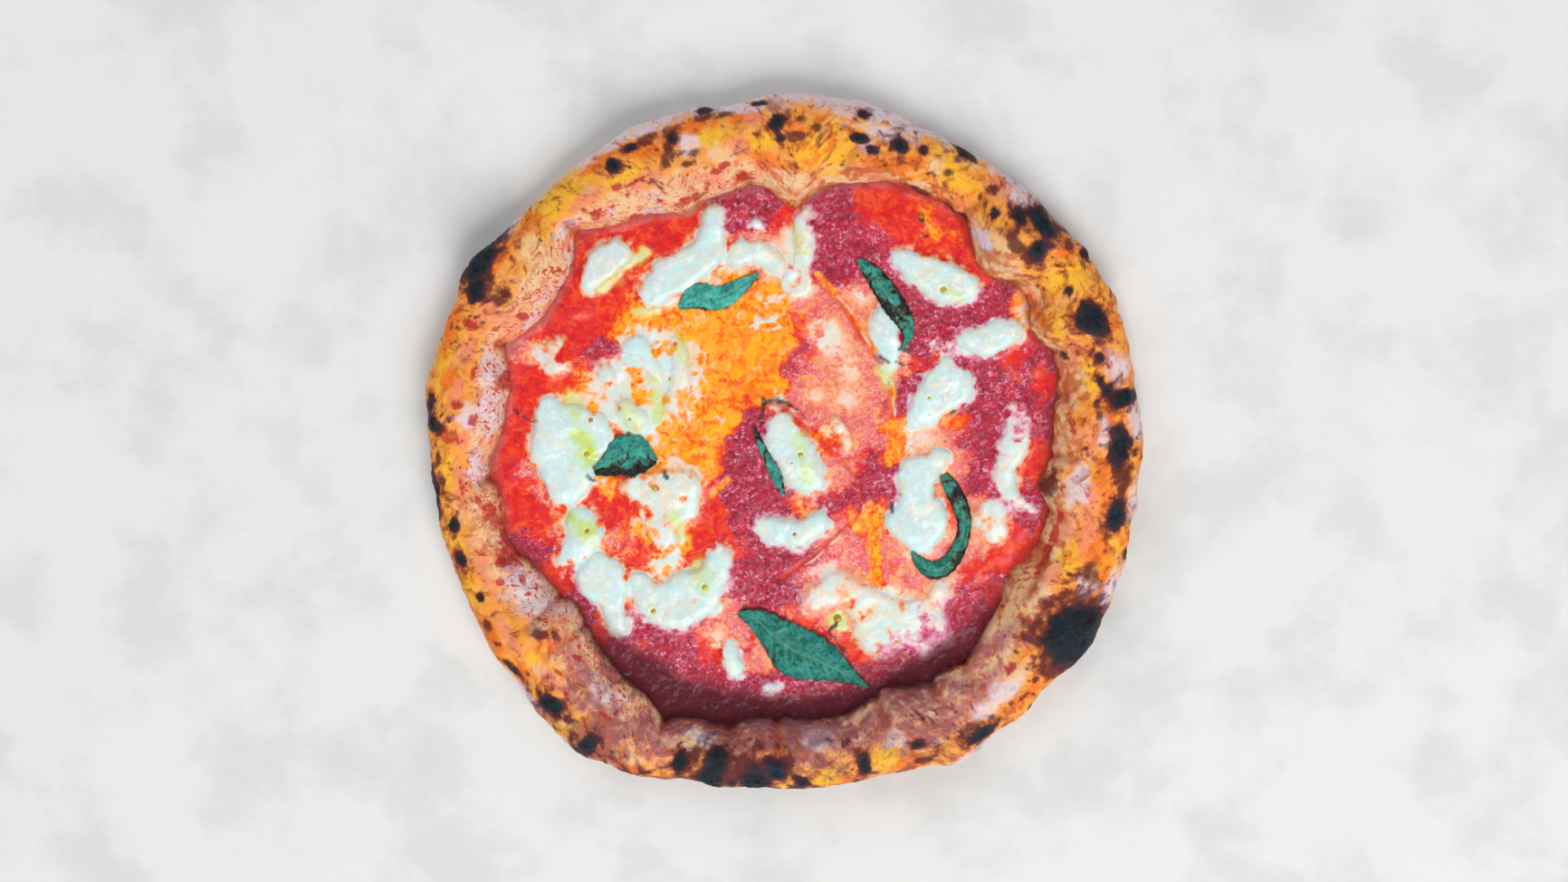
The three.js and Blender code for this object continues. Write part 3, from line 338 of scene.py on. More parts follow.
# Basil leaves, as in the CAD: middle line from the stalk to the tip, and half the width on each
# side of it. burnt: how darkened the leaf is along its line. lean: how much more on its left side.
# glow: how much light its oily skin throws back. veins: pairs of side veins.
BASIL_LEAVES = {
    "basil_teal": {
        "line": ((-46, 60.5), (-38, 65), (-28, 65.5), (-19, 70), (-11, 76)),
        "left": (0.6, 6, 4.6, 3.6, 0.6), "right": (0.8, 5, 5.4, 3.4, 0.8), "arch": 1.4, "curl": 0.4,
        "burnt": (0.25, 0.0, 0.0, 0.0, 0.2), "lean": -0.1, "glow": 1.0, "veins": 6,
    },
    "basil_folded": {
        "line": ((32.5, 82), (38, 76.5), (43.5, 69.5), (48.5, 62), (53, 55), (54.5, 48.5),
                 (51.5, 42.5)),
        "left": (1.2, 4, 5, 5.2, 4, 2.2, 0.6), "right": (1.2, 3.4, 4.6, 4.8, 3.8, 2, 0.6), "arch": 2.4,
        "curl": 0.2, "burnt": (0.2, 0.15, 0.4, 0.62, 0.6, 0.5, 0.7), "lean": -0.22, "glow": 0.5,
        "veins": 8,
    },
    "basil_burnt": {
        "line": ((-84, -11.5), (-78, -9), (-71, -5.5), (-65, -4.5), (-60, -6), (-56, -7.5)),
        "left": (1.2, 4, 9, 8.5, 4.5, 1), "right": (2.5, 5.5, 9, 9.5, 7, 1.4), "arch": 0.8, "curl": 0.6,
        "burnt": (0.8, 0.5, 0.4, 0.35, 0.6, 1.0), "lean": -0.5, "glow": 0.6, "veins": 5,
    },
    "basil_narrow": {
        "line": ((-13, 8), (-10.5, 1), (-6.5, -7), (-3, -14.5), (0, -22.5)),
        "left": (0.7, 1.5, 2, 2.4, 0.7), "right": (0.7, 1.5, 2, 2.4, 0.7), "arch": 0.6, "curl": 0.4,
        "burnt": (0.7, 0.5, 0.2, 0.2, 0.3), "lean": 0.2, "glow": 0.6, "veins": 6,
    },
    "basil_hook": {
        "line": ((71, -13), (75, -19), (79, -28), (80, -37), (77.5, -46), (72.5, -53.5), (66, -56),
                 (60, -52), (57, -47)),
        "left": (1.6, 3, 3.2, 3, 3.4, 4, 3.8, 2.4, 0.6),
        "right": (2.4, 4, 3.8, 3, 3.2, 4, 4.2, 2.6, 0.6), "arch": 1.6, "curl": 0.3,
        "burnt": (0.8, 0.75, 0.65, 0.55, 0.5, 0.5, 0.35, 0.35, 0.6), "lean": 0.15, "glow": 0.32,
        "veins": 10,
    },
    "basil_large": {
        "line": ((-20, -76), (-12, -79), (-4, -86), (4, -92), (14, -96), (24, -101), (31, -105),
                 (38, -109)),
        "left": (1.2, 6, 9.5, 11, 10.5, 6.5, 3.2, 0.6), "right": (1.2, 4.5, 7, 11.5, 10.5, 6, 2.8, 0.6),
        "arch": 2.6, "curl": 0.8, "burnt": (0.6, 0.2, 0.1, 0.05, 0.05, 0.1, 0.1, 0.3), "lean": 0.0,
        "glow": 0.28, "veins": 8,
    },
}


# Noise and soft steps

def lattice(i, j, k, seed):
    """A random value from 0 to 1 for each whole-numbered place."""
    h = (i * 374761393 + j * 668265263 + k * 2147483647 + seed * 69069) & 0xFFFFFFFF
    h = ((h ^ (h >> 13)) * 1274126177) & 0xFFFFFFFF
    return ((h ^ (h >> 16)) & 0xFFFFFFFF) / 0xFFFFFFFF


def noise(place, width, seed):
    """Smooth noise from -1 to 1, with waves about as wide as width."""
    scaled = [axis / width for axis in place]
    whole = [np.floor(axis).astype(np.int64) for axis in scaled]
    part = [axis - start for axis, start in zip(scaled, whole)]
    eased = [t * t * (3 - 2 * t) for t in part]
    total = 0.0
    for a in (0, 1):
        for b in (0, 1):
            for c in (0, 1):
                share = (eased[0] if a else 1 - eased[0]) * (eased[1] if b else 1 - eased[1])
                share = share * (eased[2] if c else 1 - eased[2])
                total = total + share * lattice(whole[0] + a, whole[1] + b, whole[2] + c, seed)
    return total * 2 - 1


def layered(place, width, seed, layers=4, gain=0.5):
    """Noise of several widths, each half as wide as the one before."""
    total = 0.0
    weight = 1.0
    for layer in range(layers):
        total = total + weight * noise(place, width / 2**layer, seed + layer)
        weight *= gain
    return total


def bubbles(place, width, seed):
    """Distance to the nearest of many random points, as a share of width."""
    scaled = [axis / width for axis in place]
    whole = [np.floor(axis).astype(np.int64) for axis in scaled]
    nearest = np.full(np.shape(scaled[0]), 9.0)
    for a in (-1, 0, 1):
        for b in (-1, 0, 1):
            for c in (-1, 0, 1):
                cell = [start + step for start, step in zip(whole, (a, b, c))]
                gap = 0.0
                for axis in range(3):
                    jitter = lattice(cell[0], cell[1], cell[2], seed + 17 * axis)
                    gap = gap + (cell[axis] + jitter - scaled[axis]) ** 2
                nearest = np.minimum(nearest, gap)
    return np.sqrt(nearest)


def soft_step(value, low, high):
    """0 below low, 1 above high and smooth between them."""
    t = np.clip((value - low) / (high - low), 0, 1)
    return t * t * (3 - 2 * t)


def blur(field, rows, columns, round_rows=False):
    """A Gaussian blur with its two widths in cells. round_rows: the rows go round in a ring."""
    pad_rows = 0 if round_rows else int(4 * rows) + 1
    pad_columns = int(4 * columns) + 1
    padded = np.pad(field, ((pad_rows, pad_rows), (pad_columns, pad_columns)), mode="edge")
    row_waves = np.fft.fftfreq(padded.shape[0])[:, None]
    column_waves = np.fft.rfftfreq(padded.shape[1])[None, :]
    keep = np.exp(-2 * math.pi**2 * ((row_waves * rows) ** 2 + (column_waves * columns) ** 2))
    blurred = np.fft.irfft2(np.fft.rfft2(padded) * keep, s=padded.shape)
    return blurred[pad_rows:pad_rows + field.shape[0], pad_columns:pad_columns + field.shape[1]]


def away_from_line(x, y, x0, y0, x1, y1):
    """Distance from points to a straight stretch."""
    length = (x1 - x0) ** 2 + (y1 - y0) ** 2
    along = np.clip(((x - x0) * (x1 - x0) + (y - y0) * (y1 - y0)) / max(length, 1e-9), 0, 1)
    return np.hypot(x - x0 - along * (x1 - x0), y - y0 - along * (y1 - y0))


def streak_share(x, y, streaks, widening=1.0):
    """1 along the middle of a streak, 0 at its edge and less outside it."""
    best = np.full(x.shape, -2.0)
    for x0, y0, x1, y1, radius in streaks:
        away = away_from_line(x, y, x0, y0, x1, y1)
        best = np.maximum(best, 1 - away / (widening * radius))
    return best


def towards(degrees, direction, low, high):
    """1 on the side of the pizza that lies in a direction, fading to 0 away from it."""
    return soft_step(np.cos(np.radians(degrees - direction)), low, high)


def patch_weight(x, y, patches):
    """How much of a soft patch lies at each point."""
    total = np.zeros_like(x)
    for px, py, radius in patches:
        total += np.exp(-((x - px) ** 2 + (y - py) ** 2) / radius**2)
    return total


# Meshes

def cad_tree(node):
    """A search tree of a CAD node's faces, in millimetres."""
    mesh = frame["nodes"][node].data
    points = np.empty(len(mesh.vertices) * 3)
    mesh.vertices.foreach_get("co", points)
    corners = [tuple(face.vertices) for face in mesh.polygons]
    return BVHTree.FromPolygons([tuple(p) for p in points.reshape(-1, 3) / MM], corners)


def height_map(tree, x, y, start=60.0):
    """Height of the highest face over each point, or NaN where there is none."""
    down = Vector((0, 0, -1))
    heights = np.full(x.shape, np.nan)
    for place in np.ndindex(x.shape):
        hit = tree.ray_cast(Vector((x[place], y[place], start)), down)[0]
        if hit is not None:
            heights[place] = hit.z
    return heights


def make_piece(name, points, faces, marks, finish, nodes=()):
    """A piece that rides with the pizza. faces: arrays of corners. marks: values at each point."""
    mesh = bpy.data.meshes.new(name)
    mesh.vertices.add(len(points))
    mesh.vertices.foreach_set("co", (np.asarray(points) * MM).ravel())
    corners = np.concatenate([group.ravel() for group in faces])
    counts = np.concatenate([np.full(len(group), group.shape[1]) for group in faces])
    mesh.loops.add(len(corners))
    mesh.loops.foreach_set("vertex_index", corners.astype(np.int32))
    mesh.polygons.add(len(counts))
    mesh.polygons.foreach_set("loop_start", (np.cumsum(counts) - counts).astype(np.int32))
    mesh.polygons.foreach_set("use_smooth", np.ones(len(counts), dtype=bool))
    for mark, values in marks.items():
        values = np.asarray(values, dtype=np.float32)
        if values.ndim == 2:
            attribute = mesh.attributes.new(mark, "FLOAT_VECTOR", "POINT")
            attribute.data.foreach_set("vector", values.ravel())
        else:
            mesh.attributes.new(mark, "FLOAT", "POINT").data.foreach_set("value", values)
    mesh.update(calc_edges=True)
    mesh.validate()
    mesh.materials.append(finish)
    piece = bpy.data.objects.new(name, mesh)
    bpy.context.scene.collection.objects.link(piece)
    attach(piece, "root")
    if nodes:
        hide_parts(*nodes)
    return piece


def whole_cells(kept):
    """The cells of a grid that have all four corners kept."""
    return kept[:-1, :-1] & kept[1:, :-1] & kept[:-1, 1:] & kept[1:, 1:]


def closed_sheet(x, y, top, bottom, kept):
    """Points and faces of a body between two height fields, over the kept cells of a grid.

    kept has one row and one column fewer than the fields. bottom may be one height, and the
    underside is then a single face. Gives the points, the faces, the places of the upper points in
    the fields and, for each lower point, the upper one over it.
    """
    used = np.zeros(top.shape, dtype=bool)
    for rows in (slice(None, -1), slice(1, None)):
        for columns in (slice(None, -1), slice(1, None)):
            used[rows, columns] |= kept
    number = np.full(top.shape, -1)
    count = int(used.sum())
    number[used] = np.arange(count)
    upper = np.stack([x[used], y[used], top[used]], axis=1)
    a = number[:-1, :-1][kept]
    b = number[1:, :-1][kept]
    c = number[1:, 1:][kept]
    d = number[:-1, 1:][kept]
    over = np.stack([a, b, c, d], axis=1)
    framed = np.pad(kept, 1)
    sides = (
        (framed[:-2, 1:-1], number[:-1, 1:], number[:-1, :-1]),
        (framed[2:, 1:-1], number[1:, :-1], number[1:, 1:]),
        (framed[1:-1, :-2], number[:-1, :-1], number[1:, :-1]),
        (framed[1:-1, 2:], number[1:, 1:], number[:-1, 1:]),
    )
    open_sides = [kept & ~neighbour for neighbour, _, _ in sides]
    first = np.concatenate([side[1][is_open] for side, is_open in zip(sides, open_sides)])
    second = np.concatenate([side[2][is_open] for side, is_open in zip(sides, open_sides)])
    if np.ndim(bottom):
        lower = np.stack([x[used], y[used], bottom[used]], axis=1)
        wall = np.stack([second, first, first + count, second + count], axis=1)
        faces = [over, over[:, ::-1] + count, wall]
        return np.concatenate([upper, lower]), faces, used, np.arange(count)
    following = dict(zip(second.tolist(), first.tolist()))
    ring = [int(second[0])]
    while following[ring[-1]] != ring[0]:
        ring.append(following[ring[-1]])
    if len(ring) != len(second):
        raise RuntimeError("The edge of a sheet isn't one ring")
    ring = np.array(ring)
    lower = upper[ring] * (1, 1, 0) + (0, 0, bottom)
    floor = np.arange(len(ring)) + count
    wall = np.stack([ring, np.roll(ring, -1), np.roll(floor, -1), floor], axis=1)
    return np.concatenate([upper, lower]), [over, floor[None, :], wall], used, ring


# Materials

# Tones that the finishes mix in, as linear values
TONES = {
    # Painted shade: dull purple-brown for the rim on the side that lies in shade
    "shade_dull": (0.2, 0.06, 0.08),
    "crack": (0.46, 0.09, 0.03),
    # Painted shade: dark red-brown in the folds between the rim's lobes
    "fold_shade": (0.4, 0.07, 0.02),
    # Partly a sauce stain and partly painted shade: rust brown at the foot of the inner wall, where the
    # rim meets the sauce
    "stain_and_shade": (0.36, 0.04, 0.014),
    # Painted shade: near-black brown for the crust's low inner wall on the side that lies in shade
    "painted_shade": (0.05, 0.015, 0.02),
    "singed": (0.045, 0.017, 0.024),
    "char_sheen": (0.002, 0.022, 0.036),
    "dark_red": (0.55, 0.007, 0.02),
    "deep_red": (0.62, 0.008, 0.02),
    "light_red": (0.95, 0.14, 0.06),
    "wine": (0.2, 0.004, 0.025),
    "bright_pulp": (0.7, 0.012, 0.03),
    "dark_pulp": (0.26, 0.004, 0.02),
    # Painted highlight: pale specks of light on the wet pulp
    "pulp_glint": (0.9, 0.62, 0.8),
    "red_oil": (0.95, 0.06, 0.003),
    "pale_oil": (1.0, 0.56, 0.08),
    "amber_oil": (1.0, 0.26, 0.006),
    "oil_border": (0.86, 0.045, 0.008),
    "milky_red": (0.62, 0.04, 0.07),
    "milky_pink": (0.98, 0.52, 0.5),
    "milky_orange": (1.0, 0.42, 0.12),
    "milky_curl": (0.82, 0.08, 0.1),
    "rosy_cheese": (0.82, 0.5, 0.62),
    # Painted highlight: near-white patches on the cheese
    "cheese_highlight": (0.86, 0.93, 0.95),
    "lilac_cheese": (0.66, 0.62, 0.74),
    "slit": (0.7, 0.035, 0.008),
    # Painted highlight: pale cream line along the raised side of a fold
    "lip_highlight": (1.0, 0.82, 0.66),
    "baked_edge_and_shade": (0.3, 0.012, 0.01),
    # Partly a darker border of the sauce and partly painted shade: dark red-brown where the sauce meets
    # the rim
    "burnt_scrap": (0.02, 0.014, 0.012),
    # Painted shade: near-black red for the sauce by the rim on the side that lies in shade
    "painted_deep_shade": (0.055, 0.002, 0.008),
    # Painted shade: near-black green in a leaf's wrinkles
    "leaf_crease_shade": (0.004, 0.05, 0.04),
    "leaf_vein": (0.2, 0.5, 0.36),
    "pale_amber": (0.85, 0.62, 0.05),
    "floor_blotch": srgb(214, 214, 212),
}


class Finish:
    """A material whose nodes are added one call at a time."""

    def __init__(self, name):
        self.material = bpy.data.materials.new(name)
        self.material.use_nodes = True
        self.tree = self.material.node_tree
        self.shader = self.tree.nodes["Principled BSDF"]
        self.place = self.tree.nodes.new("ShaderNodeTexCoord").outputs["Object"]

    def put(self, socket, value):
        if isinstance(value, bpy.types.NodeSocket):
            self.tree.links.new(value, socket)
        elif socket.type == "RGBA":
            socket.default_value = (*value, 1.0)
        else:
            socket.default_value = value

    def mark(self, name):
        """The values of a mark that the mesh carries."""
        node = self.tree.nodes.new("ShaderNodeAttribute")
        node.attribute_name = name
        return node.outputs["Fac"]

    def drawn_along(self, name):
        """Takes the places for later grain from a mark that holds three values."""
        node = self.tree.nodes.new("ShaderNodeAttribute")
        node.attribute_name = name
        self.place = node.outputs["Vector"]

    def grain(self, width, detail=4.0, roughness=0.55, warp=0.0):
        """Noise with waves about width millimetres wide, mostly from 0.3 to 0.7."""
        node = self.tree.nodes.new("ShaderNodeTexNoise")
        self.put(node.inputs["Vector"], self.place)
        node.inputs["Scale"].default_value = 1.0 / (width * MM)
        node.inputs["Detail"].default_value = detail
        node.inputs["Roughness"].default_value = roughness
        node.inputs["Distortion"].default_value = warp
        return node.outputs["Fac"]

    def pores(self, width):
        """Distance to the nearest of many random points."""
        node = self.tree.nodes.new("ShaderNodeTexVoronoi")
        self.put(node.inputs["Vector"], self.place)
        node.inputs["Scale"].default_value = 1.0 / (width * MM)
        return node.outputs["Distance"]

    def reckon(self, operation, first, second):
        node = self.tree.nodes.new("ShaderNodeMath")
        node.operation = operation
        self.put(node.inputs[0], first)
        self.put(node.inputs[1], second)
        return node.outputs[0]

    def times(self, first, second):
        return self.reckon("MULTIPLY", first, second)

    def plus(self, first, second):
        return self.reckon("ADD", first, second)

    def step(self, value, low, high, start=0.0, end=1.0):
        """From start at low to end at high, smooth between them."""
        node = self.tree.nodes.new("ShaderNodeMapRange")
        node.interpolation_type = "SMOOTHSTEP"
        self.put(node.inputs["Value"], value)
        node.inputs["From Min"].default_value = low
        node.inputs["From Max"].default_value = high
        node.inputs["To Min"].default_value = start
        node.inputs["To Max"].default_value = end
        return node.outputs["Result"]

    def ragged(self, name, jitter, full=0.35, most=1.0):
        """A mark with its edge torn by a jitter, and left alone where it is 0."""
        mark = self.mark(name)
        return self.plus(mark, self.times(jitter, self.step(mark, 0.0, full, 0.0, most)))

    def part(self, name, strength=1.0, pattern=None):
        """A mark times a strength and, where one is given, a pattern."""
        value = self.times(self.mark(name), strength)
        return value if pattern is None else self.times(pattern, value)

    def blend(self, under, over, share):
        """One colour over another."""
        node = self.tree.nodes.new("ShaderNodeMix")
        node.data_type = "RGBA"
        colours = [socket for socket in node.inputs if socket.type == "RGBA"]
        self.put(node.inputs["Factor"], share)
        self.put(colours[0], under)
        self.put(colours[1], over)
        return next(socket for socket in node.outputs if socket.type == "RGBA")

    def layers(self, colour, *coats):
        """Colours laid one over the other, each with its share."""
        for over, share in coats:
            colour = self.blend(colour, over, share)
        return colour

    def relief(self, height, depth, under=None):
        """A bump of a depth in millimetres."""
        node = self.tree.nodes.new("ShaderNodeBump")
        node.inputs["Strength"].default_value = 1.0
        node.inputs["Distance"].default_value = depth * MM
        self.put(node.inputs["Height"], height)
        if under is not None:
            self.put(node.inputs["Normal"], under)
        return node.outputs["Normal"]

    def close(self, colour, roughness, normal=None, **values):
        """Sets the shader's own sockets. values: socket names with underscores for spaces."""
        self.put(self.shader.inputs["Base Color"], colour)
        self.put(self.shader.inputs["Roughness"], roughness)
        if normal is not None:
            self.put(self.shader.inputs["Normal"], normal)
        for name, value in values.items():
            self.put(self.shader.inputs[name.replace("_", " ")], value)
        return self.material


# Settings

def colour_setting(name, description, red, green, blue):
    return FloatVectorProperty(
        name=name, description=description, subtype="COLOR", size=3, min=0, max=1,
        default=srgb(red, green, blue),
    )


def length_setting(name, description, default):
    return FloatProperty(name=name, description=description, default=default * MM, min=0, unit="LENGTH")


class CrustSettings(PropertyGroup):
    lumps: length_setting("Lumps", "Height of the rim's soft lumps", 1.2)
    wrinkles: length_setting("Wrinkles", "Height of the baked skin's wrinkles", 0.3)
    blisters: length_setting("Blisters", "Height of the small blisters", 0.6)
    cream: colour_setting("Cream", "Pale dough", 240, 200, 152)
    golden: colour_setting("Golden", "Baked crest of the rim", 250, 162, 58)
    yellow: colour_setting("Yellow", "Dough with oil in it", 250, 190, 44)
    orange: colour_setting("Orange", "Well baked dough", 246, 112, 22)
    salmon: colour_setting("Salmon", "Inner slope with sauce in it", 244, 142, 108)
    mauve: colour_setting("Mauve", "Dull places low on the inner slope", 192, 118, 126)
    lavender: colour_setting("Lavender", "Floury places", 228, 216, 228)
    red: colour_setting("Red", "Specks of baked sauce", 186, 34, 34)
    rust: colour_setting("Rust", "Brown mottling of the baked skin", 196, 92, 38)
    toast: colour_setting("Toast", "Brown specks and the brown around the char", 92, 34, 36)
    char: colour_setting("Char", "Charred spots", 16, 13, 20)


class SauceSettings(PropertyGroup):
    pulp: length_setting("Pulp", "Height of the tomato pulp", 0.35)
    red: colour_setting("Red", "Smooth tomato sauce", 230, 36, 26)
    crimson: colour_setting("Crimson", "Pulpy tomato sauce", 184, 22, 56)
    # Pink: painted highlights on the wet grains of the pulp, and the tint of thin cheese over pulpy
    # sauce
    pink: colour_setting("Pink", "Light grains in the pulp", 228, 146, 182)
    orange: colour_setting("Orange", "Sauce under oil", 255, 106, 4)
    yellow: colour_setting("Yellow", "Oil with melted cheese", 255, 176, 12)
    milk: colour_setting("Milk", "Thin melted cheese over sauce", 232, 116, 110)


class CheeseSettings(PropertyGroup):
    bumps: length_setting("Bumps", "Height of the cheese's own bumps", 0.4)
    white: colour_setting("White", "Thick fresh cheese", 200, 232, 230)
    cream: colour_setting("Cream", "Cheese with oil in it", 236, 222, 192)
    fringe: colour_setting("Fringe", "Thin edge over the sauce", 252, 170, 110)
    blush: colour_setting("Blush", "Cheese with sauce in it", 244, 200, 196)
    lime: colour_setting("Lime", "Olive oil on the cheese", 198, 218, 20)


class BasilSettings(PropertyGroup):
    thickness: length_setting("Thickness", "Thickness of a leaf", 0.5)
    green: colour_setting("Green", "Upper side", 0, 102, 84)
    teal: colour_setting("Teal", "Light that the oily skin throws back", 76, 194, 182)
    wilted: colour_setting("Wilted", "Browned places", 84, 74, 52)
    burnt: colour_setting("Burnt", "Darkened edges", 26, 30, 28)


class OilSettings(PropertyGroup):
    droplets: IntProperty(name="Droplets", description="Loose droplets of oil", default=40, min=0)
    amber: colour_setting("Amber", "Drops of oil", 232, 150, 20)


class StageSettings(PropertyGroup):
    view_tilt: FloatProperty(
        name="View tilt", description="How far the view leans from straight down, towards +Y",
        default=math.radians(8), subtype="ANGLE",
    )
    view_turn: FloatProperty(
        name="View turn", description="How far the view leans towards +X",
        default=math.radians(1.5), subtype="ANGLE",
    )
    lens: FloatProperty(name="Lens", description="Focal length", default=70, min=10, unit="CAMERA")
    width: length_setting("Frame width", "Width of the view at the pizza", 692.0)
    floor: colour_setting("Floor", "Pale floor", 226, 226, 224)


# The crust

def rim_section_reach(tree):
    """Distance from a ring inside the dough to the rim's surface, over turns and section angles."""
    turns = np.arange(RIM_TURNS) * 2 * math.pi / RIM_TURNS
    angles = np.radians(np.linspace(SECTION_START, SECTION_END, RIM_ARCS))
    ring = np.empty(RIM_TURNS)
    reach = np.empty((RIM_TURNS, RIM_ARCS))
    outside = 200.0
    foot_height = 5.2
    widest_height = 11.0
    for i, turn in enumerate(turns):
        out = Vector((math.cos(turn), math.sin(turn), 0))
        foot = tree.ray_cast(Vector((0, 0, foot_height)), out)[0]
        start = Vector((outside * out.x, outside * out.y, widest_height))
        widest = tree.ray_cast(start, -out)[0]
        ring[i] = (foot.xy.length + widest.xy.length) / 2
    ring = blur(ring[:, None], 8, 0.01, round_rows=True)[:, 0]
    for i, turn in enumerate(turns):
        out = Vector((math.cos(turn), math.sin(turn), 0))
        start = Vector((ring[i] * out.x, ring[i] * out.y, SECTION_HEIGHT))
        for j, angle in enumerate(angles):
            direction = out * math.cos(angle) + Vector((0, 0, math.sin(angle)))
            reach[i, j] = tree.ray_cast(start, direction)[3]
    return turns, angles, ring, reach


def turn_gap(degrees, middle):
    """Difference between two directions, from -180 to 180 degrees."""
    return (degrees - middle + 180) % 360 - 180


def char_depth(degrees, distance, spread=1.0):
    """The strength of a charred spot in its middle, falling to 0 at its edge."""
    best = np.full(distance.shape, -2.0)
    for middle, away, along, across, strength in CHAR_SPOTS:
        sideways = np.radians(turn_gap(degrees, middle)) * away
        reach = np.hypot((distance - away) / (across * spread), sideways / (along * spread))
        best = np.maximum(best, strength * (1.35 - reach))
    return best


def pigment(degrees, distance, patches):
    """How much of a pigment lies at each point: about 1 in its patches, fading to 0."""
    total = np.zeros_like(distance)
    for middle, away, along, across in patches:
        reach = (turn_gap(degrees, middle) / along) ** 2 + ((distance - away) / across) ** 2
        total = np.maximum(total, np.exp(-0.7 * reach))
    return total


def rim_folds(degrees, distance):
    """How deep the folds between the lobes are at each point, in millimetres."""
    depth = np.zeros_like(distance)
    width = 2.1
    turns = np.radians(degrees)
    for turn0, away0, turn1, away1, deep in RIM_FOLDS:
        middle = math.radians((turn0 + turn1) / 2)
        side = distance * np.sin(turns - middle)
        out = distance * np.cos(turns - middle)
        ends = []
        for turn, away in ((turn0, away0), (turn1, away1)):
            gap = math.radians(turn) - middle
            ends += [away * math.sin(gap), away * math.cos(gap)]
        away = away_from_line(side, out, *ends)
        depth = np.maximum(depth, deep * np.exp(-((away / width) ** 2)))
    return depth


def rim_swellings(degrees, distance):
    """How far the round swellings stand out at each point, in millimetres."""
    rise = np.zeros_like(distance)
    for middle, away, radius, height in RIM_SWELLINGS:
        sideways = np.radians(turn_gap(degrees, middle)) * away
        reach = ((distance - away) ** 2 + sideways**2) / radius**2
        rise = np.maximum(rise, height * np.clip(1 - reach, 0, 1) ** 0.8)
    return rise


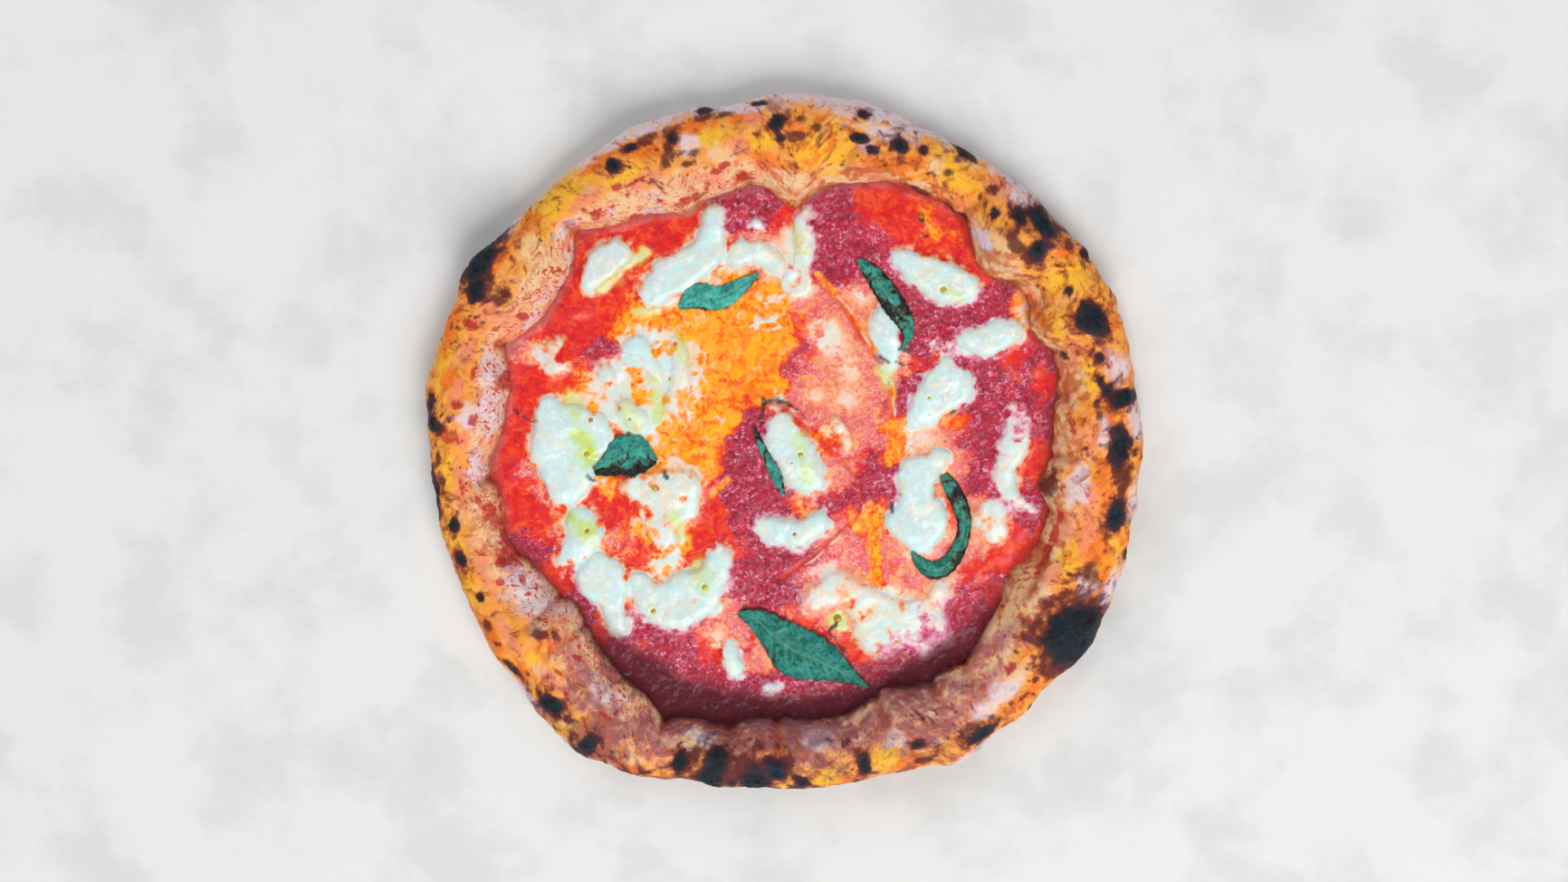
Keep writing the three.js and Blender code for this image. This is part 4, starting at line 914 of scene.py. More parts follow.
class PIZZA_OT_bake_crust(Operator):
    """Bakes the crust: a fine skin over the CAD dough, with lumps, folds, blisters and char"""

    bl_idname = "pizza.bake_crust"
    bl_label = "Bake the crust"

    def execute(self, context):
        settings = context.scene.pizza_crust
        turns, angles, ring, reach = rim_section_reach(cad_tree("crust"))
        reach = blur(reach, FACET_BLUR_TURNS, FACET_BLUR_ARCS, round_rows=True)
        out_x = np.cos(turns)[:, None]
        out_y = np.sin(turns)[:, None]
        along = np.cos(angles)[None, :]
        upwards = np.sin(angles)[None, :] + 0 * reach

        def surface(length):
            distance = ring[:, None] + along * length
            height = np.maximum(SECTION_HEIGHT + upwards * length, 0.0)
            return distance * out_x, distance * out_y, height, distance

        x, y, z, distance = surface(reach)
        degrees = np.degrees(turns)[:, None] + 0 * x
        place = (x, y, z)
        steps = np.hypot(
            np.diff(distance, axis=1, prepend=distance[:, :1]), np.diff(z, axis=1, prepend=z[:, :1]),
        )
        over_section = np.cumsum(steps, axis=1)
        drawn_out = (CREST_RADIUS * out_x + 0 * x, CREST_RADIUS * out_y + 0 * x, 0.85 * over_section)
        ragged = layered(place, 5, SEED, 4)
        torn = layered(drawn_out, 3.2, SEED + 5, 3)
        core = np.where(upwards > -0.35, char_depth(degrees, distance), -2.0)
        char = np.clip((core + 0.26 * ragged + 0.14 * torn + 0.1) / 1.3, 0, 1)
        folds = rim_folds(degrees, distance) * soft_step(along * -1, -0.5, 0.0)

        relief = settings.lumps / MM * layered(place, 13, SEED + 10, 2)
        relief += settings.wrinkles / MM * layered(place, 3.6, SEED + 20, 3)
        relief += rim_swellings(degrees, distance + 1.5 * ragged) * soft_step(upwards, 0.0, 0.4)
        domes = np.clip(1 - bubbles(place, 6.5, SEED + 40) / 0.44, 0, 1)
        blistered = soft_step(noise(place, 16, SEED + 41), -0.1, 0.5)
        relief += settings.blisters / MM * np.sqrt(domes) * blistered
        relief -= 0.7 * soft_step(1 - np.abs(layered(place, 9, SEED + 30, 3)), 0.86, 1.0)
        relief += soft_step(char, 0.3, 1.0) * (0.3 + 0.3 * layered(place, 2.4, SEED + 50, 2))
        relief -= 1.3 * folds
        held = soft_step(upwards, -0.75, 0.1)
        x, y, z, distance = surface(reach + relief * held)

        marks = self.pigments(degrees, distance, along, upwards, place, drawn_out, ragged, torn)
        shaded = towards(degrees, SHADED_SIDE, 0.35, 0.85)
        singed = char_depth(degrees, distance, 1.7) + 0.4 * ragged + 0.8 * torn
        seen = soft_step(upwards, -0.5, -0.15)
        inwards = along < 0
        marks["toast"] = np.maximum(marks["toast"], 0.8 * soft_step(singed, 0.0, 1.35)) * seen
        marks["rust"] = np.maximum(marks["rust"], 0.9 * soft_step(singed, -0.1, 0.9)) * seen
        marks["char"] = char * seen
        # Painted shade: the folds between the lobes darkened
        marks["fold_shade"] = np.clip(folds / 1.4, 0, 1)
        # Partly a sauce stain and partly painted shade: the foot of the inner wall, where the rim meets
        # the sauce, turned rust brown
        marks["stain_and_shade"] = (1 - soft_step(z + 1.8 * ragged, 6.6, 12.5)) * inwards
        # Painted shade: the low inner wall darkened on the side of the pizza that lies in shade
        marks["painted_shade"] = shaded * (1 - soft_step(z + 1.2 * torn, 8, 16)) * inwards
        marks["under"] = 1 - soft_step(upwards, -0.75, -0.4)
        strokes = (0.8 * drawn_out[0], 0.8 * drawn_out[1], 0.8 * over_section)
        marks["strokes"] = np.stack(strokes, axis=2) * MM
        points, faces, marks = self.close_section(x, y, z, marks)
        make_piece("crust_skin", points, faces, marks, crust_finish(settings), ["crust"])
        return {"FINISHED"}

    @staticmethod
    def pigments(degrees, distance, along, upwards, place, drawn_out, ragged, torn):
        """Shares of each pigment: broad ones by where the dough faces, and the patches over them."""

        def add(kind, share):
            marks[kind] = np.maximum(marks[kind], share)

        def specks(width, seed, spacing, unevenness):
            """Round specks, larger in clusters of a spacing."""
            size = 0.1 + 0.24 * noise(place, spacing, seed + 1) + unevenness * grain
            return 1 - soft_step(bubbles(drawn_out, width, seed), size - 0.1, size + 0.12)

        inner = soft_step(-along, -0.05, 0.7) + 0 * distance
        outer = soft_step(along, 0.35, 0.85) + 0 * distance
        crest = soft_step(upwards + 0.25 * along, 0.45, 0.95)
        warm = towards(degrees, 35, -0.1, 0.8)
        left = towards(degrees, 168, 0.0, 0.7)
        bottom = towards(degrees, 256, 0.75, 0.97)
        cold = towards(degrees, SHADED_SIDE, 0.1, 0.75)
        coldest = towards(degrees, SHADED_SIDE, 0.55, 0.9)
        broad = layered(place, 14, SEED + 60, 3)
        mottle = layered(drawn_out, 5, SEED + 61, 3)
        grain = layered(drawn_out, 2.2, SEED + 62, 3)

        marks = {}
        for kind, patches in RIM_PATCHES.items():
            share = pigment(degrees, distance, patches) + 0.36 * (0.5 * ragged + 0.55 * torn)
            marks[kind] = soft_step(share, 0.05, 0.95)
        golden = crest + 0.5 * outer + 0.3 * warm + 0.45 * mottle + 0.3 * broad
        marks["golden"] = soft_step(golden - 0.55 * inner * (1 - 0.9 * warm), 0.0, 1.1)
        foot = inner * soft_step(0.62 - upwards, 0.0, 0.9)
        rust = 0.75 * mottle - 0.35 * broad + 0.5 * grain + 0.4 * cold * outer - 0.7 * left
        marks["rust"] = soft_step(rust + 0.55 * warm * inner + 0.7 * warm * foot, 0.15, 1.25)
        orange = 0.6 * broad + 0.8 * grain + 0.35 * warm + 0.2 * outer
        add("orange", 0.75 * soft_step(orange, 0.2, 1.3))
        add("yellow", 0.6 * soft_step(mottle - grain + 0.4 * warm, 0.7, 1.3))
        add("salmon", inner * soft_step(mottle + 0.9 * grain + 0.3 * left - 0.2 * warm, -0.2, 1.2))
        marks["mauve"] = 0.8 * marks["mauve"]
        add("mauve", inner * coldest * soft_step(0.5 * broad + 0.4 * mottle, -0.9, 0.3))
        # Painted shade: dull purple-brown over the bottom of the rim and the side that lies in shade
        shade_dull = soft_step(0.6 * mottle + 0.5 * broad + 0.4 * grain, -1.1, 0.5)
        marks["shade_dull"] = np.maximum(bottom, 0.66 * coldest) * shade_dull

        low_flank = soft_step(along - 0.9 * upwards, 0.55, 1.05)
        top_flank = towards(degrees, 82, 0.55, 0.85)
        pale = soft_step(along - 0.55 * upwards + 0.3 * mottle + 0.15 * broad, 0.2, 0.95)
        marks["lavender"] = 0.85 * marks["lavender"]
        add("lavender", 0.6 * low_flank * soft_step(broad + 0.5 * mottle, -0.2, 0.7))
        add("lavender", 0.85 * top_flank * pale)
        add("lavender", 0.7 * left * inner * soft_step(0.8 * broad + 0.4 * mottle, 0.0, 0.8))

        ridges = 1 - np.abs(layered(drawn_out, 8, SEED + 90, 3))
        cracks = soft_step(ridges, 0.86, 1.0) * soft_step(grain, -0.5, 0.5)
        marks["crackle"] = cracks * soft_step(inner + crest, 0.1, 0.6)
        clusters = soft_step(layered(place, 11, SEED + 64, 2) + 0.5 * mottle, 0.25, 0.9)
        clusters = clusters * soft_step(crest + outer, 0.2, 0.8) * (1 - 0.6 * left)
        add("toast", clusters * soft_step(grain + 0.6 * torn, -0.2, 1.0))
        add("toast", bottom * outer * soft_step(mottle + 0.7 * torn, -0.3, 0.9))
        scorch = crest * 0.8 + outer * 0.6 + 0.3 * inner * (1 - left) - 0.5 * marks["lavender"]
        marks["scorch"] = soft_step(scorch + 0.55 * broad, 0.1, 0.8)
        marks["sprinkled"] = soft_step(inner * (0.3 + 0.7 * left), 0.2, 0.6)
        for width, seed in ((5.0, SEED + 70), (3.2, SEED + 74)):
            add("toast", 0.85 * specks(width, seed, 11, 0.1) * marks["scorch"])
        for width, seed in ((4.2, SEED + 80), (2.4, SEED + 84)):
            add("red", 0.85 * specks(width, seed, 9, 0.06) * marks["sprinkled"])
        return marks

    @staticmethod
    def close_section(x, y, z, marks):
        """Joins the section's rows round the rim and closes them under and over the base."""
        outwards_shares = (0.3, 0.985)
        inwards_shares = (0.93, 0.84, 0.74, 0.62, 0.5, 0.36, 0.2)
        first = np.stack([x[:, 0], y[:, 0], np.full(RIM_TURNS, BASE_HEIGHT)], axis=1)
        last = np.stack([x[:, -1], y[:, -1], np.zeros(RIM_TURNS)], axis=1)
        over = np.stack([first * (share, share, 1.0) for share in outwards_shares], axis=1)
        under = np.stack([last * (share, share, 1.0) for share in inwards_shares], axis=1)
        body = np.concatenate([over, np.stack([x, y, z], axis=2), under], axis=1)
        count = body.shape[1]
        number = np.arange(RIM_TURNS * count).reshape(RIM_TURNS, count)
        following = np.roll(number, -1, axis=0)
        corners = [number[:, :-1], number[:, 1:], following[:, 1:], following[:, :-1]]
        quads = np.stack(corners, axis=2).reshape(-1, 4)
        middle = np.full(RIM_TURNS, RIM_TURNS * count)
        top_fan = np.stack([middle, number[:, 0], following[:, 0]], axis=1)
        bottom_fan = np.stack([middle + 1, following[:, -1], number[:, -1]], axis=1)
        points = np.concatenate([body.reshape(-1, 3), [[0, 0, BASE_HEIGHT], [0, 0, 0.0]]])
        spread = {}
        for mark, values in marks.items():
            before = np.repeat(values[:, :1], len(outwards_shares), axis=1)
            after = np.repeat(values[:, -1:], len(inwards_shares), axis=1)
            whole = np.concatenate([before, values, after], axis=1)
            whole = whole.reshape(-1, 3) if values.ndim == 3 else whole.reshape(-1)
            spread[mark] = np.concatenate([whole, whole[:1], whole[-1:]])
        return points, [quads, top_fan, bottom_fan], spread


def crust_finish(settings):
    finish = Finish("baked_dough_skin")
    fine = finish.grain(1.2, 6, 0.7)
    middle = finish.grain(4.0, 5, 0.65, warp=0.8)
    finish.drawn_along("strokes")
    strokes = finish.grain(3.6, 6, 0.62, warp=0.7)
    streaks = finish.grain(4.8, 6, 0.64, warp=0.8)
    splashes = finish.grain(2.6, 5, 0.62, warp=1.6)
    jitter = finish.plus(
        finish.step(fine, 0.3, 0.7, -0.14, 0.14), finish.step(strokes, 0.3, 0.7, -0.26, 0.26),
    )

    def share(name, strength):
        return finish.step(finish.ragged(name, jitter), 0.1, 0.95, 0.0, strength)

    char = finish.ragged("char", jitter, 0.25, 0.4)
    sheen = finish.blend(settings.char, TONES["char_sheen"], finish.step(middle, 0.42, 0.62))
    under_spots = finish.step(finish.grain(13.0, 4, 0.6, warp=0.8), 0.5, 0.62)
    colour = finish.layers(
        settings.cream,
        (settings.golden, share("golden", 0.95)),
        (settings.yellow, share("yellow", 0.85)),
        (settings.orange, share("orange", 0.8)),
        (settings.cream, share("cream", 0.8)),
        (settings.salmon, share("salmon", 0.8)),
        (settings.mauve, share("mauve", 0.88)),
        (settings.rust, share("rust", 0.75)),
        (settings.lavender, share("lavender", 0.85)),
        # Painted shade on the bottom and the shaded side of the rim
        (TONES["shade_dull"], share("shade_dull", 0.7)),
        (settings.rust, finish.part("scorch", 0.75, finish.step(streaks, 0.5, 0.64))),
        (settings.toast, finish.part("scorch", 0.8, finish.step(streaks, 0.58, 0.72))),
        (settings.cream, finish.step(strokes, 0.44, 0.3, 0.0, 0.2)),
        (settings.salmon, finish.part("sprinkled", pattern=finish.step(splashes, 0.5, 0.6))),
        (settings.red, finish.part("sprinkled", 0.85, finish.step(splashes, 0.565, 0.62))),
        (TONES["crack"], finish.part("crackle", pattern=finish.step(fine, 0.3, 0.6, 0.05, 0.34))),
        # Painted shade in the folds between the lobes
        (TONES["fold_shade"], finish.part("fold_shade", 0.6)),
        (settings.red, finish.step(finish.ragged("red", jitter, 0.3), 0.36, 0.95, 0.0, 0.85)),
        # Sauce stain and painted shade at the foot of the inner wall
        (TONES["stain_and_shade"], finish.part("stain_and_shade", 0.8)),
        # Painted shade on the low inner wall of the shaded side
        (TONES["painted_shade"], finish.part("painted_shade", 0.85)),
        (settings.toast, share("toast", 0.9)),
        (settings.toast, finish.part("under", pattern=under_spots)),
        (settings.toast, finish.step(char, 0.0, 0.45, 0.0, 0.95)),
        (TONES["singed"], finish.step(char, 0.2, 0.55)),
        (sheen, finish.step(char, 0.45, 0.9)),
    )
    rough = finish.step(finish.plus(char, finish.times(fine, 0.6)), 0.2, 1.3, 0.6, 0.5)
    normal = finish.relief(fine, 0.45)
    normal = finish.relief(finish.pores(1.1), 0.14, normal)
    return finish.close(
        colour, rough, normal, Specular_IOR_Level=0.22, Subsurface_Weight=0.1,
        Subsurface_Radius=(1.0, 0.5, 0.25), Subsurface_Scale=0.0012,
    )


# The toppings' shared fields

class Toppings:
    """Heights and marks of the sauce and the cheese on one grid over the topped disc."""

    def __init__(self):
        low, high = [np.array(corner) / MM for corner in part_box("tomato_sauce")]
        margin = 6.0
        xs = np.arange(low[0] - margin, high[0] + margin, TOPPING_CELL)
        ys = np.arange(low[1] - margin, high[1] + margin, TOPPING_CELL)
        self.x, self.y = np.meshgrid(xs, ys, indexing="ij")
        self.place = (self.x, self.y, np.zeros_like(self.x))
        heights = height_map(cad_tree("tomato_sauce"), self.x, self.y)
        self.disc = np.isfinite(heights).astype(float)
        base = self.mend(heights, 6)
        self.edge = self.soft(self.disc, 2.0)
        self.wide_edge = self.soft(self.disc, 4.5)
        self.torn = layered(self.place, 7, SEED + 130, 3, 0.6)
        self.fine = layered(self.place, 2.4, SEED + 134, 3, 0.6)
        self.lime = lime_share(self.x, self.y)
        self.folds()
        self.zones()
        self.cheeses()
        self.cheesy = self.cheese_cover()
        self.oil_and_scraps()
        self.sauce = self.sauce_height(base)
        for piece in self.pieces.values():
            self.melt(piece)

    def soft(self, field, width):
        """A blur with its width in millimetres."""
        cells = width / TOPPING_CELL
        return blur(field, cells, cells)

    def mend(self, heights, width):
        """Fills the NaN places of a height map from around them and smooths it."""
        known = np.isfinite(heights).astype(float)
        weight = self.soft(known, width) + 1e-6
        mean = float(np.nanmean(heights))
        filled = np.where(known > 0, heights, mean) - mean
        return mean + self.soft(filled * known, width) / np.maximum(weight, 0.05)

    def folds(self):
        """Distance to the folds, above 0 on the side that stands up."""
        nearest = np.full(self.x.shape, 99.0)
        side = np.ones(self.x.shape)
        wander = 0.7 * noise(self.place, 7, SEED + 90)
        x = self.x + wander
        y = self.y - wander
        for line in FOLD_LINES:
            for (x0, y0), (x1, y1) in zip(line, line[1:]):
                away = away_from_line(x, y, x0, y0, x1, y1)
                closer = away < nearest
                turned = np.sign((x1 - x0) * (y - y0) - (y1 - y0) * (x - x0))
                side = np.where(closer, turned, side)
                nearest = np.minimum(nearest, away)
        self.fold_away = nearest * side

    def zones(self):
        """Shares of oily, red, pulpy and milky sauce, with ragged borders."""
        warp_x = self.x + 5 * layered(self.place, 11, SEED + 100, 4, 0.6)
        warp_y = self.y + 5 * layered(self.place, 11, SEED + 105, 4, 0.6)
        kinds = {
            "oily": OILY_PATCHES, "red": RED_PATCHES, "pulpy": PULPY_PATCHES, "milky": MILKY_PATCHES,
        }
        weights = {kind: patch_weight(warp_x, warp_y, patches) for kind, patches in kinds.items()}
        total = sum(weights.values()) + 0.02
        self.shares = {kind: weight / total for kind, weight in weights.items()}

    def cheeses(self):
        """Finds each CAD piece of cheese: its window of the grid, its top and where it lies."""
        self.pieces = {}
        self.all_cheese = np.zeros_like(self.x)
        self.firm = np.zeros_like(self.x)
        margin = 9.0
        start = np.array([self.x[0, 0], self.y[0, 0]])
        for node in sorted(frame["nodes"]):
            if not node.startswith("mozzarella_"):
                continue
            low, high = [np.array(corner)[:2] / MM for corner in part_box(node)]
            first = np.maximum(((low - margin - start) / TOPPING_CELL).astype(int), 0)
            last = ((high + margin - start) / TOPPING_CELL).astype(int)
            window = (slice(first[0], last[0]), slice(first[1], last[1]))
            top = height_map(cad_tree(node), self.x[window], self.y[window])
            mask = np.isfinite(top).astype(float)
            firmness = LACY_CHEESE.get(node, 1.0)
            self.pieces[node] = {
                "window": window, "top": self.mend(top, 2.2), "mask": mask, "firmness": firmness,
            }
            self.all_cheese[window] = np.maximum(self.all_cheese[window], mask)
            self.firm[window] = np.maximum(self.firm[window], mask * firmness)
        self.heaped = self.soft(self.all_cheese, 3.0)

    def cheese_cover(self):
        """How cheesy each point is: torn-edged pieces, and films and threads between them."""
        milky, oily, pulpy = [self.shares[kind] for kind in ("milky", "oily", "pulpy")]
        body = 0.5 * self.soft(self.firm, 1.5) + 0.5 * self.soft(self.firm, 3.6)
        lacy = np.clip(self.soft(self.all_cheese - self.firm, 2.0) * 5, 0, 1)
        around = self.soft(self.all_cheese, 5.0)
        threads = soft_step(1 - np.abs(layered(self.place, 8, SEED + 138, 3)), 0.8, 0.98)
        lace = np.clip(patch_weight(self.x, self.y, LACE_PATCHES), 0, 1)
        film = 0.6 * around + 0.16 * milky + 0.2 * oily + 0.45 * lace - 0.1 * pulpy
        uneven = 0.36 * self.torn + 0.24 * self.fine + (0.26 + 0.2 * oily) * threads
        film += uneven * soft_step(film, 0.05, 0.4)
        film = np.minimum(film, 0.55 + 0.3 * lace - 0.3 * milky)
        film = np.maximum(film, lacy * (0.5 + 0.14 * self.torn))
        unsure = np.clip(4 * body * (1 - body), 0, 1) * (1 - lacy) + 1.5 * lacy * body
        cheesy = np.maximum(film, body * 1.2 + unsure * (0.42 * self.torn + 0.22 * self.fine))
        cheesy = np.maximum(cheesy, 0.8 * np.minimum(1.4 * self.lime, 1))
        warp = 0.4 * layered(self.place, 3, SEED + 146, 3)
        for x, y, radius in CHEESE_GAPS:
            away = np.hypot(self.x - x, self.y - y) / radius + warp
            cheesy -= 0.65 * np.exp(-np.clip(away, 0, 9) ** 2)
        return cheesy

    def oil_and_scraps(self):
        """Pools of amber oil, and dark scraps along bent lines."""
        amber = streak_share(self.x, self.y, AMBER_STREAKS)
        self.amber = soft_step(amber + 0.3 * self.torn + 0.15 * self.fine, -0.05, 0.6)
        bent_x = self.x + 1.3 * noise(self.place, 3.6, SEED + 174)
        bent_y = self.y + 1.3 * noise(self.place, 3.6, SEED + 176)
        scraps = streak_share(bent_x, bent_y, DARK_SCRAPS, widening=1.6)
        self.scraps = soft_step(scraps + 0.5 * self.fine, 0.0, 0.75)

    def sauce_height(self, base):
        """The sauce: pulp where it is pulpy, smooth where it is oily, and drawn up at the rim."""
        pulp = np.clip(0.62 - bubbles(self.place, 2.1, SEED + 110), 0, 1) * 1.4
        pulp = pulp + 0.5 * layered(self.place, 3, SEED + 112, 2)
        pulp = pulp * (0.15 + 0.85 * self.shares["pulpy"]) * (1 - 0.8 * self.shares["oily"])
        lumps = 0.35 * layered(self.place, 9, SEED + 120, 2)
        heaps = 2.2 * soft_step(self.heaped, 0.1, 1.0)
        curds = 0.3 * soft_step(self.cheesy, 0.25, 0.9) + heaps - 0.3 * self.amber
        height = bpy.context.scene.pizza_sauce.pulp / MM
        rise = 1.5 * np.clip(1 - self.edge, 0, 1)
        away = self.fold_away
        lip = 0.6 * soft_step(away, -0.9, 0.9) * np.exp(-np.abs(away) / 3.0) * (np.abs(away) < 20)
        ditch = 0.25 * np.exp(-(((away + 1.1) / 1.1) ** 2))
        return base + height * pulp + lumps + curds + rise + lip - ditch

    def melt(self, piece):
        """The top of one piece of cheese, which thins out and dips below the sauce at its edge."""
        window = piece["window"]
        place = tuple(axis[window] for axis in self.place)
        inside = self.soft(piece["mask"], 1.5)
        unsure = 4 * inside * (1 - inside)
        inside = inside + unsure * (0.2 * self.torn[window] + 0.05 * noise(place, 1.8, SEED + 143))
        slope = np.clip((inside - 0.3) / 0.7, 0, 1)
        profile = 0.5 * (1 - (1 - slope) ** 1.6) + 0.5 * slope**2 * (3 - 2 * slope)
        sink = 0.15
        thick = np.clip(piece["top"] - self.sauce[window] - 0.2, 0.4, 1.1) * piece["firmness"]
        bumps = bpy.context.scene.pizza_cheese.bumps / MM * layered(place, 8, SEED + 150, 2)
        bumps += 0.07 * layered(place, 2.2, SEED + 160, 2)
        raised = -sink + (thick + sink) * profile + bumps * profile
        for x, y, radius in OIL_BUBBLES:
            away = np.hypot(place[0] - x, place[1] - y) / radius
            ring = 0.15 * np.exp(-(((away - 1.25) / 0.35) ** 2))
            raised -= 0.35 * np.exp(-((away / 0.9) ** 2)) - ring
        piece["height"] = self.sauce[window] + raised
        piece["inside"] = inside

    @functools.cached_property
    def highest(self):
        """The highest topping at each point."""
        highest = self.sauce.copy()
        for piece in self.pieces.values():
            window = piece["window"]
            highest[window] = np.maximum(highest[window], piece["height"])
        return highest

    @functools.cached_property
    def marks(self):
        """What the finish reads on the sauce and on the cheese alike."""
        degrees = np.degrees(np.arctan2(self.y, self.x))
        away = np.hypot(self.x, self.y)
        shade = towards(degrees, -88, 0.45, 0.85)
        inwards = 1 - self.wide_edge
        slit = np.exp(-(((self.fold_away + 1.1) / 1.4) ** 2))
        return {
            **self.shares,
            "cheesy": np.clip(self.cheesy, 0, 1.4),
            "slit": slit * (0.75 + 0.4 * noise(self.place, 6, SEED + 182)),
            # Painted highlight: a thin bright line along the raised side of each fold, broken up by the
            # glint mark
            "lip": np.exp(-(((self.fold_away - 0.4) / 0.45) ** 2)),
            "lime": self.lime,
            "amber": self.amber,
            "scraps": self.scraps,
            "glint": soft_step(noise(self.place, 4, SEED + 183), 0.0, 0.35),
            # Partly a darker border of the sauce and partly painted shade along the rim's foot
            "rimward": soft_step(inwards + 0.1 * noise(self.place, 6, SEED + 180), 0.2, 0.6),
            # Painted shade: the sauce near the rim darkened on the side of the pizza that lies in shade
            "painted_shade": shade * soft_step(away + 1.5 * noise(self.place, 9, SEED + 181), 108, 118),
        }

    def marks_at(self, used, below, window=(slice(None), slice(None))):
        """The marks of a closed sheet's upper points and then of its lower ones."""
        upper = {name: values[window][used] for name, values in self.marks.items()}
        return {name: np.concatenate([values, values[below]]) for name, values in upper.items()}

    def at(self, field, x, y):
        """Values of a field at points between its cells."""
        column = np.clip((x - self.x[0, 0]) / TOPPING_CELL, 0, field.shape[0] - 1.001)
        row = np.clip((y - self.y[0, 0]) / TOPPING_CELL, 0, field.shape[1] - 1.001)
        i = column.astype(int)
        j = row.astype(int)
        u = column - i
        v = row - j
        low = field[i, j] * (1 - u) + field[i + 1, j] * u
        high = field[i, j + 1] * (1 - u) + field[i + 1, j + 1] * u
        return low * (1 - v) + high * v


@functools.lru_cache(maxsize=1)
def toppings():
    return Toppings()


def lime_share(x, y):
    """Where olive oil shows lime."""
    total = np.zeros_like(x)
    ragged = 0.4 * layered((x, y, 0 * x), 5, SEED + 170, 4)
    for x0, y0, x1, y1, radius, strength in LIME_STREAKS:
        share = 1 - away_from_line(x, y, x0, y0, x1, y1) / radius
        total = np.maximum(total, strength * soft_step(share + ragged, -0.1, 1.0))
    return total


class PIZZA_OT_spread_sauce(Operator):
    """Spreads the tomato sauce: pulp, oil and thin melted cheese over the CAD sauce"""

    bl_idname = "pizza.spread_sauce"
    bl_label = "Spread the sauce"

    def execute(self, context):
        field = toppings()
        under_rim = field.soft(field.disc, 1.6) > 0.06
        kept = whole_cells(under_rim)
        points, faces, used, below = closed_sheet(field.x, field.y, field.sauce, SAUCE_FLOOR, kept)
        finish = topping_finish("tomato_sauce_wet", context, 0.0)
        marks = field.marks_at(used, below)
        make_piece("tomato_sauce_top", points, faces, marks, finish, ["tomato_sauce"])
        return {"FINISHED"}


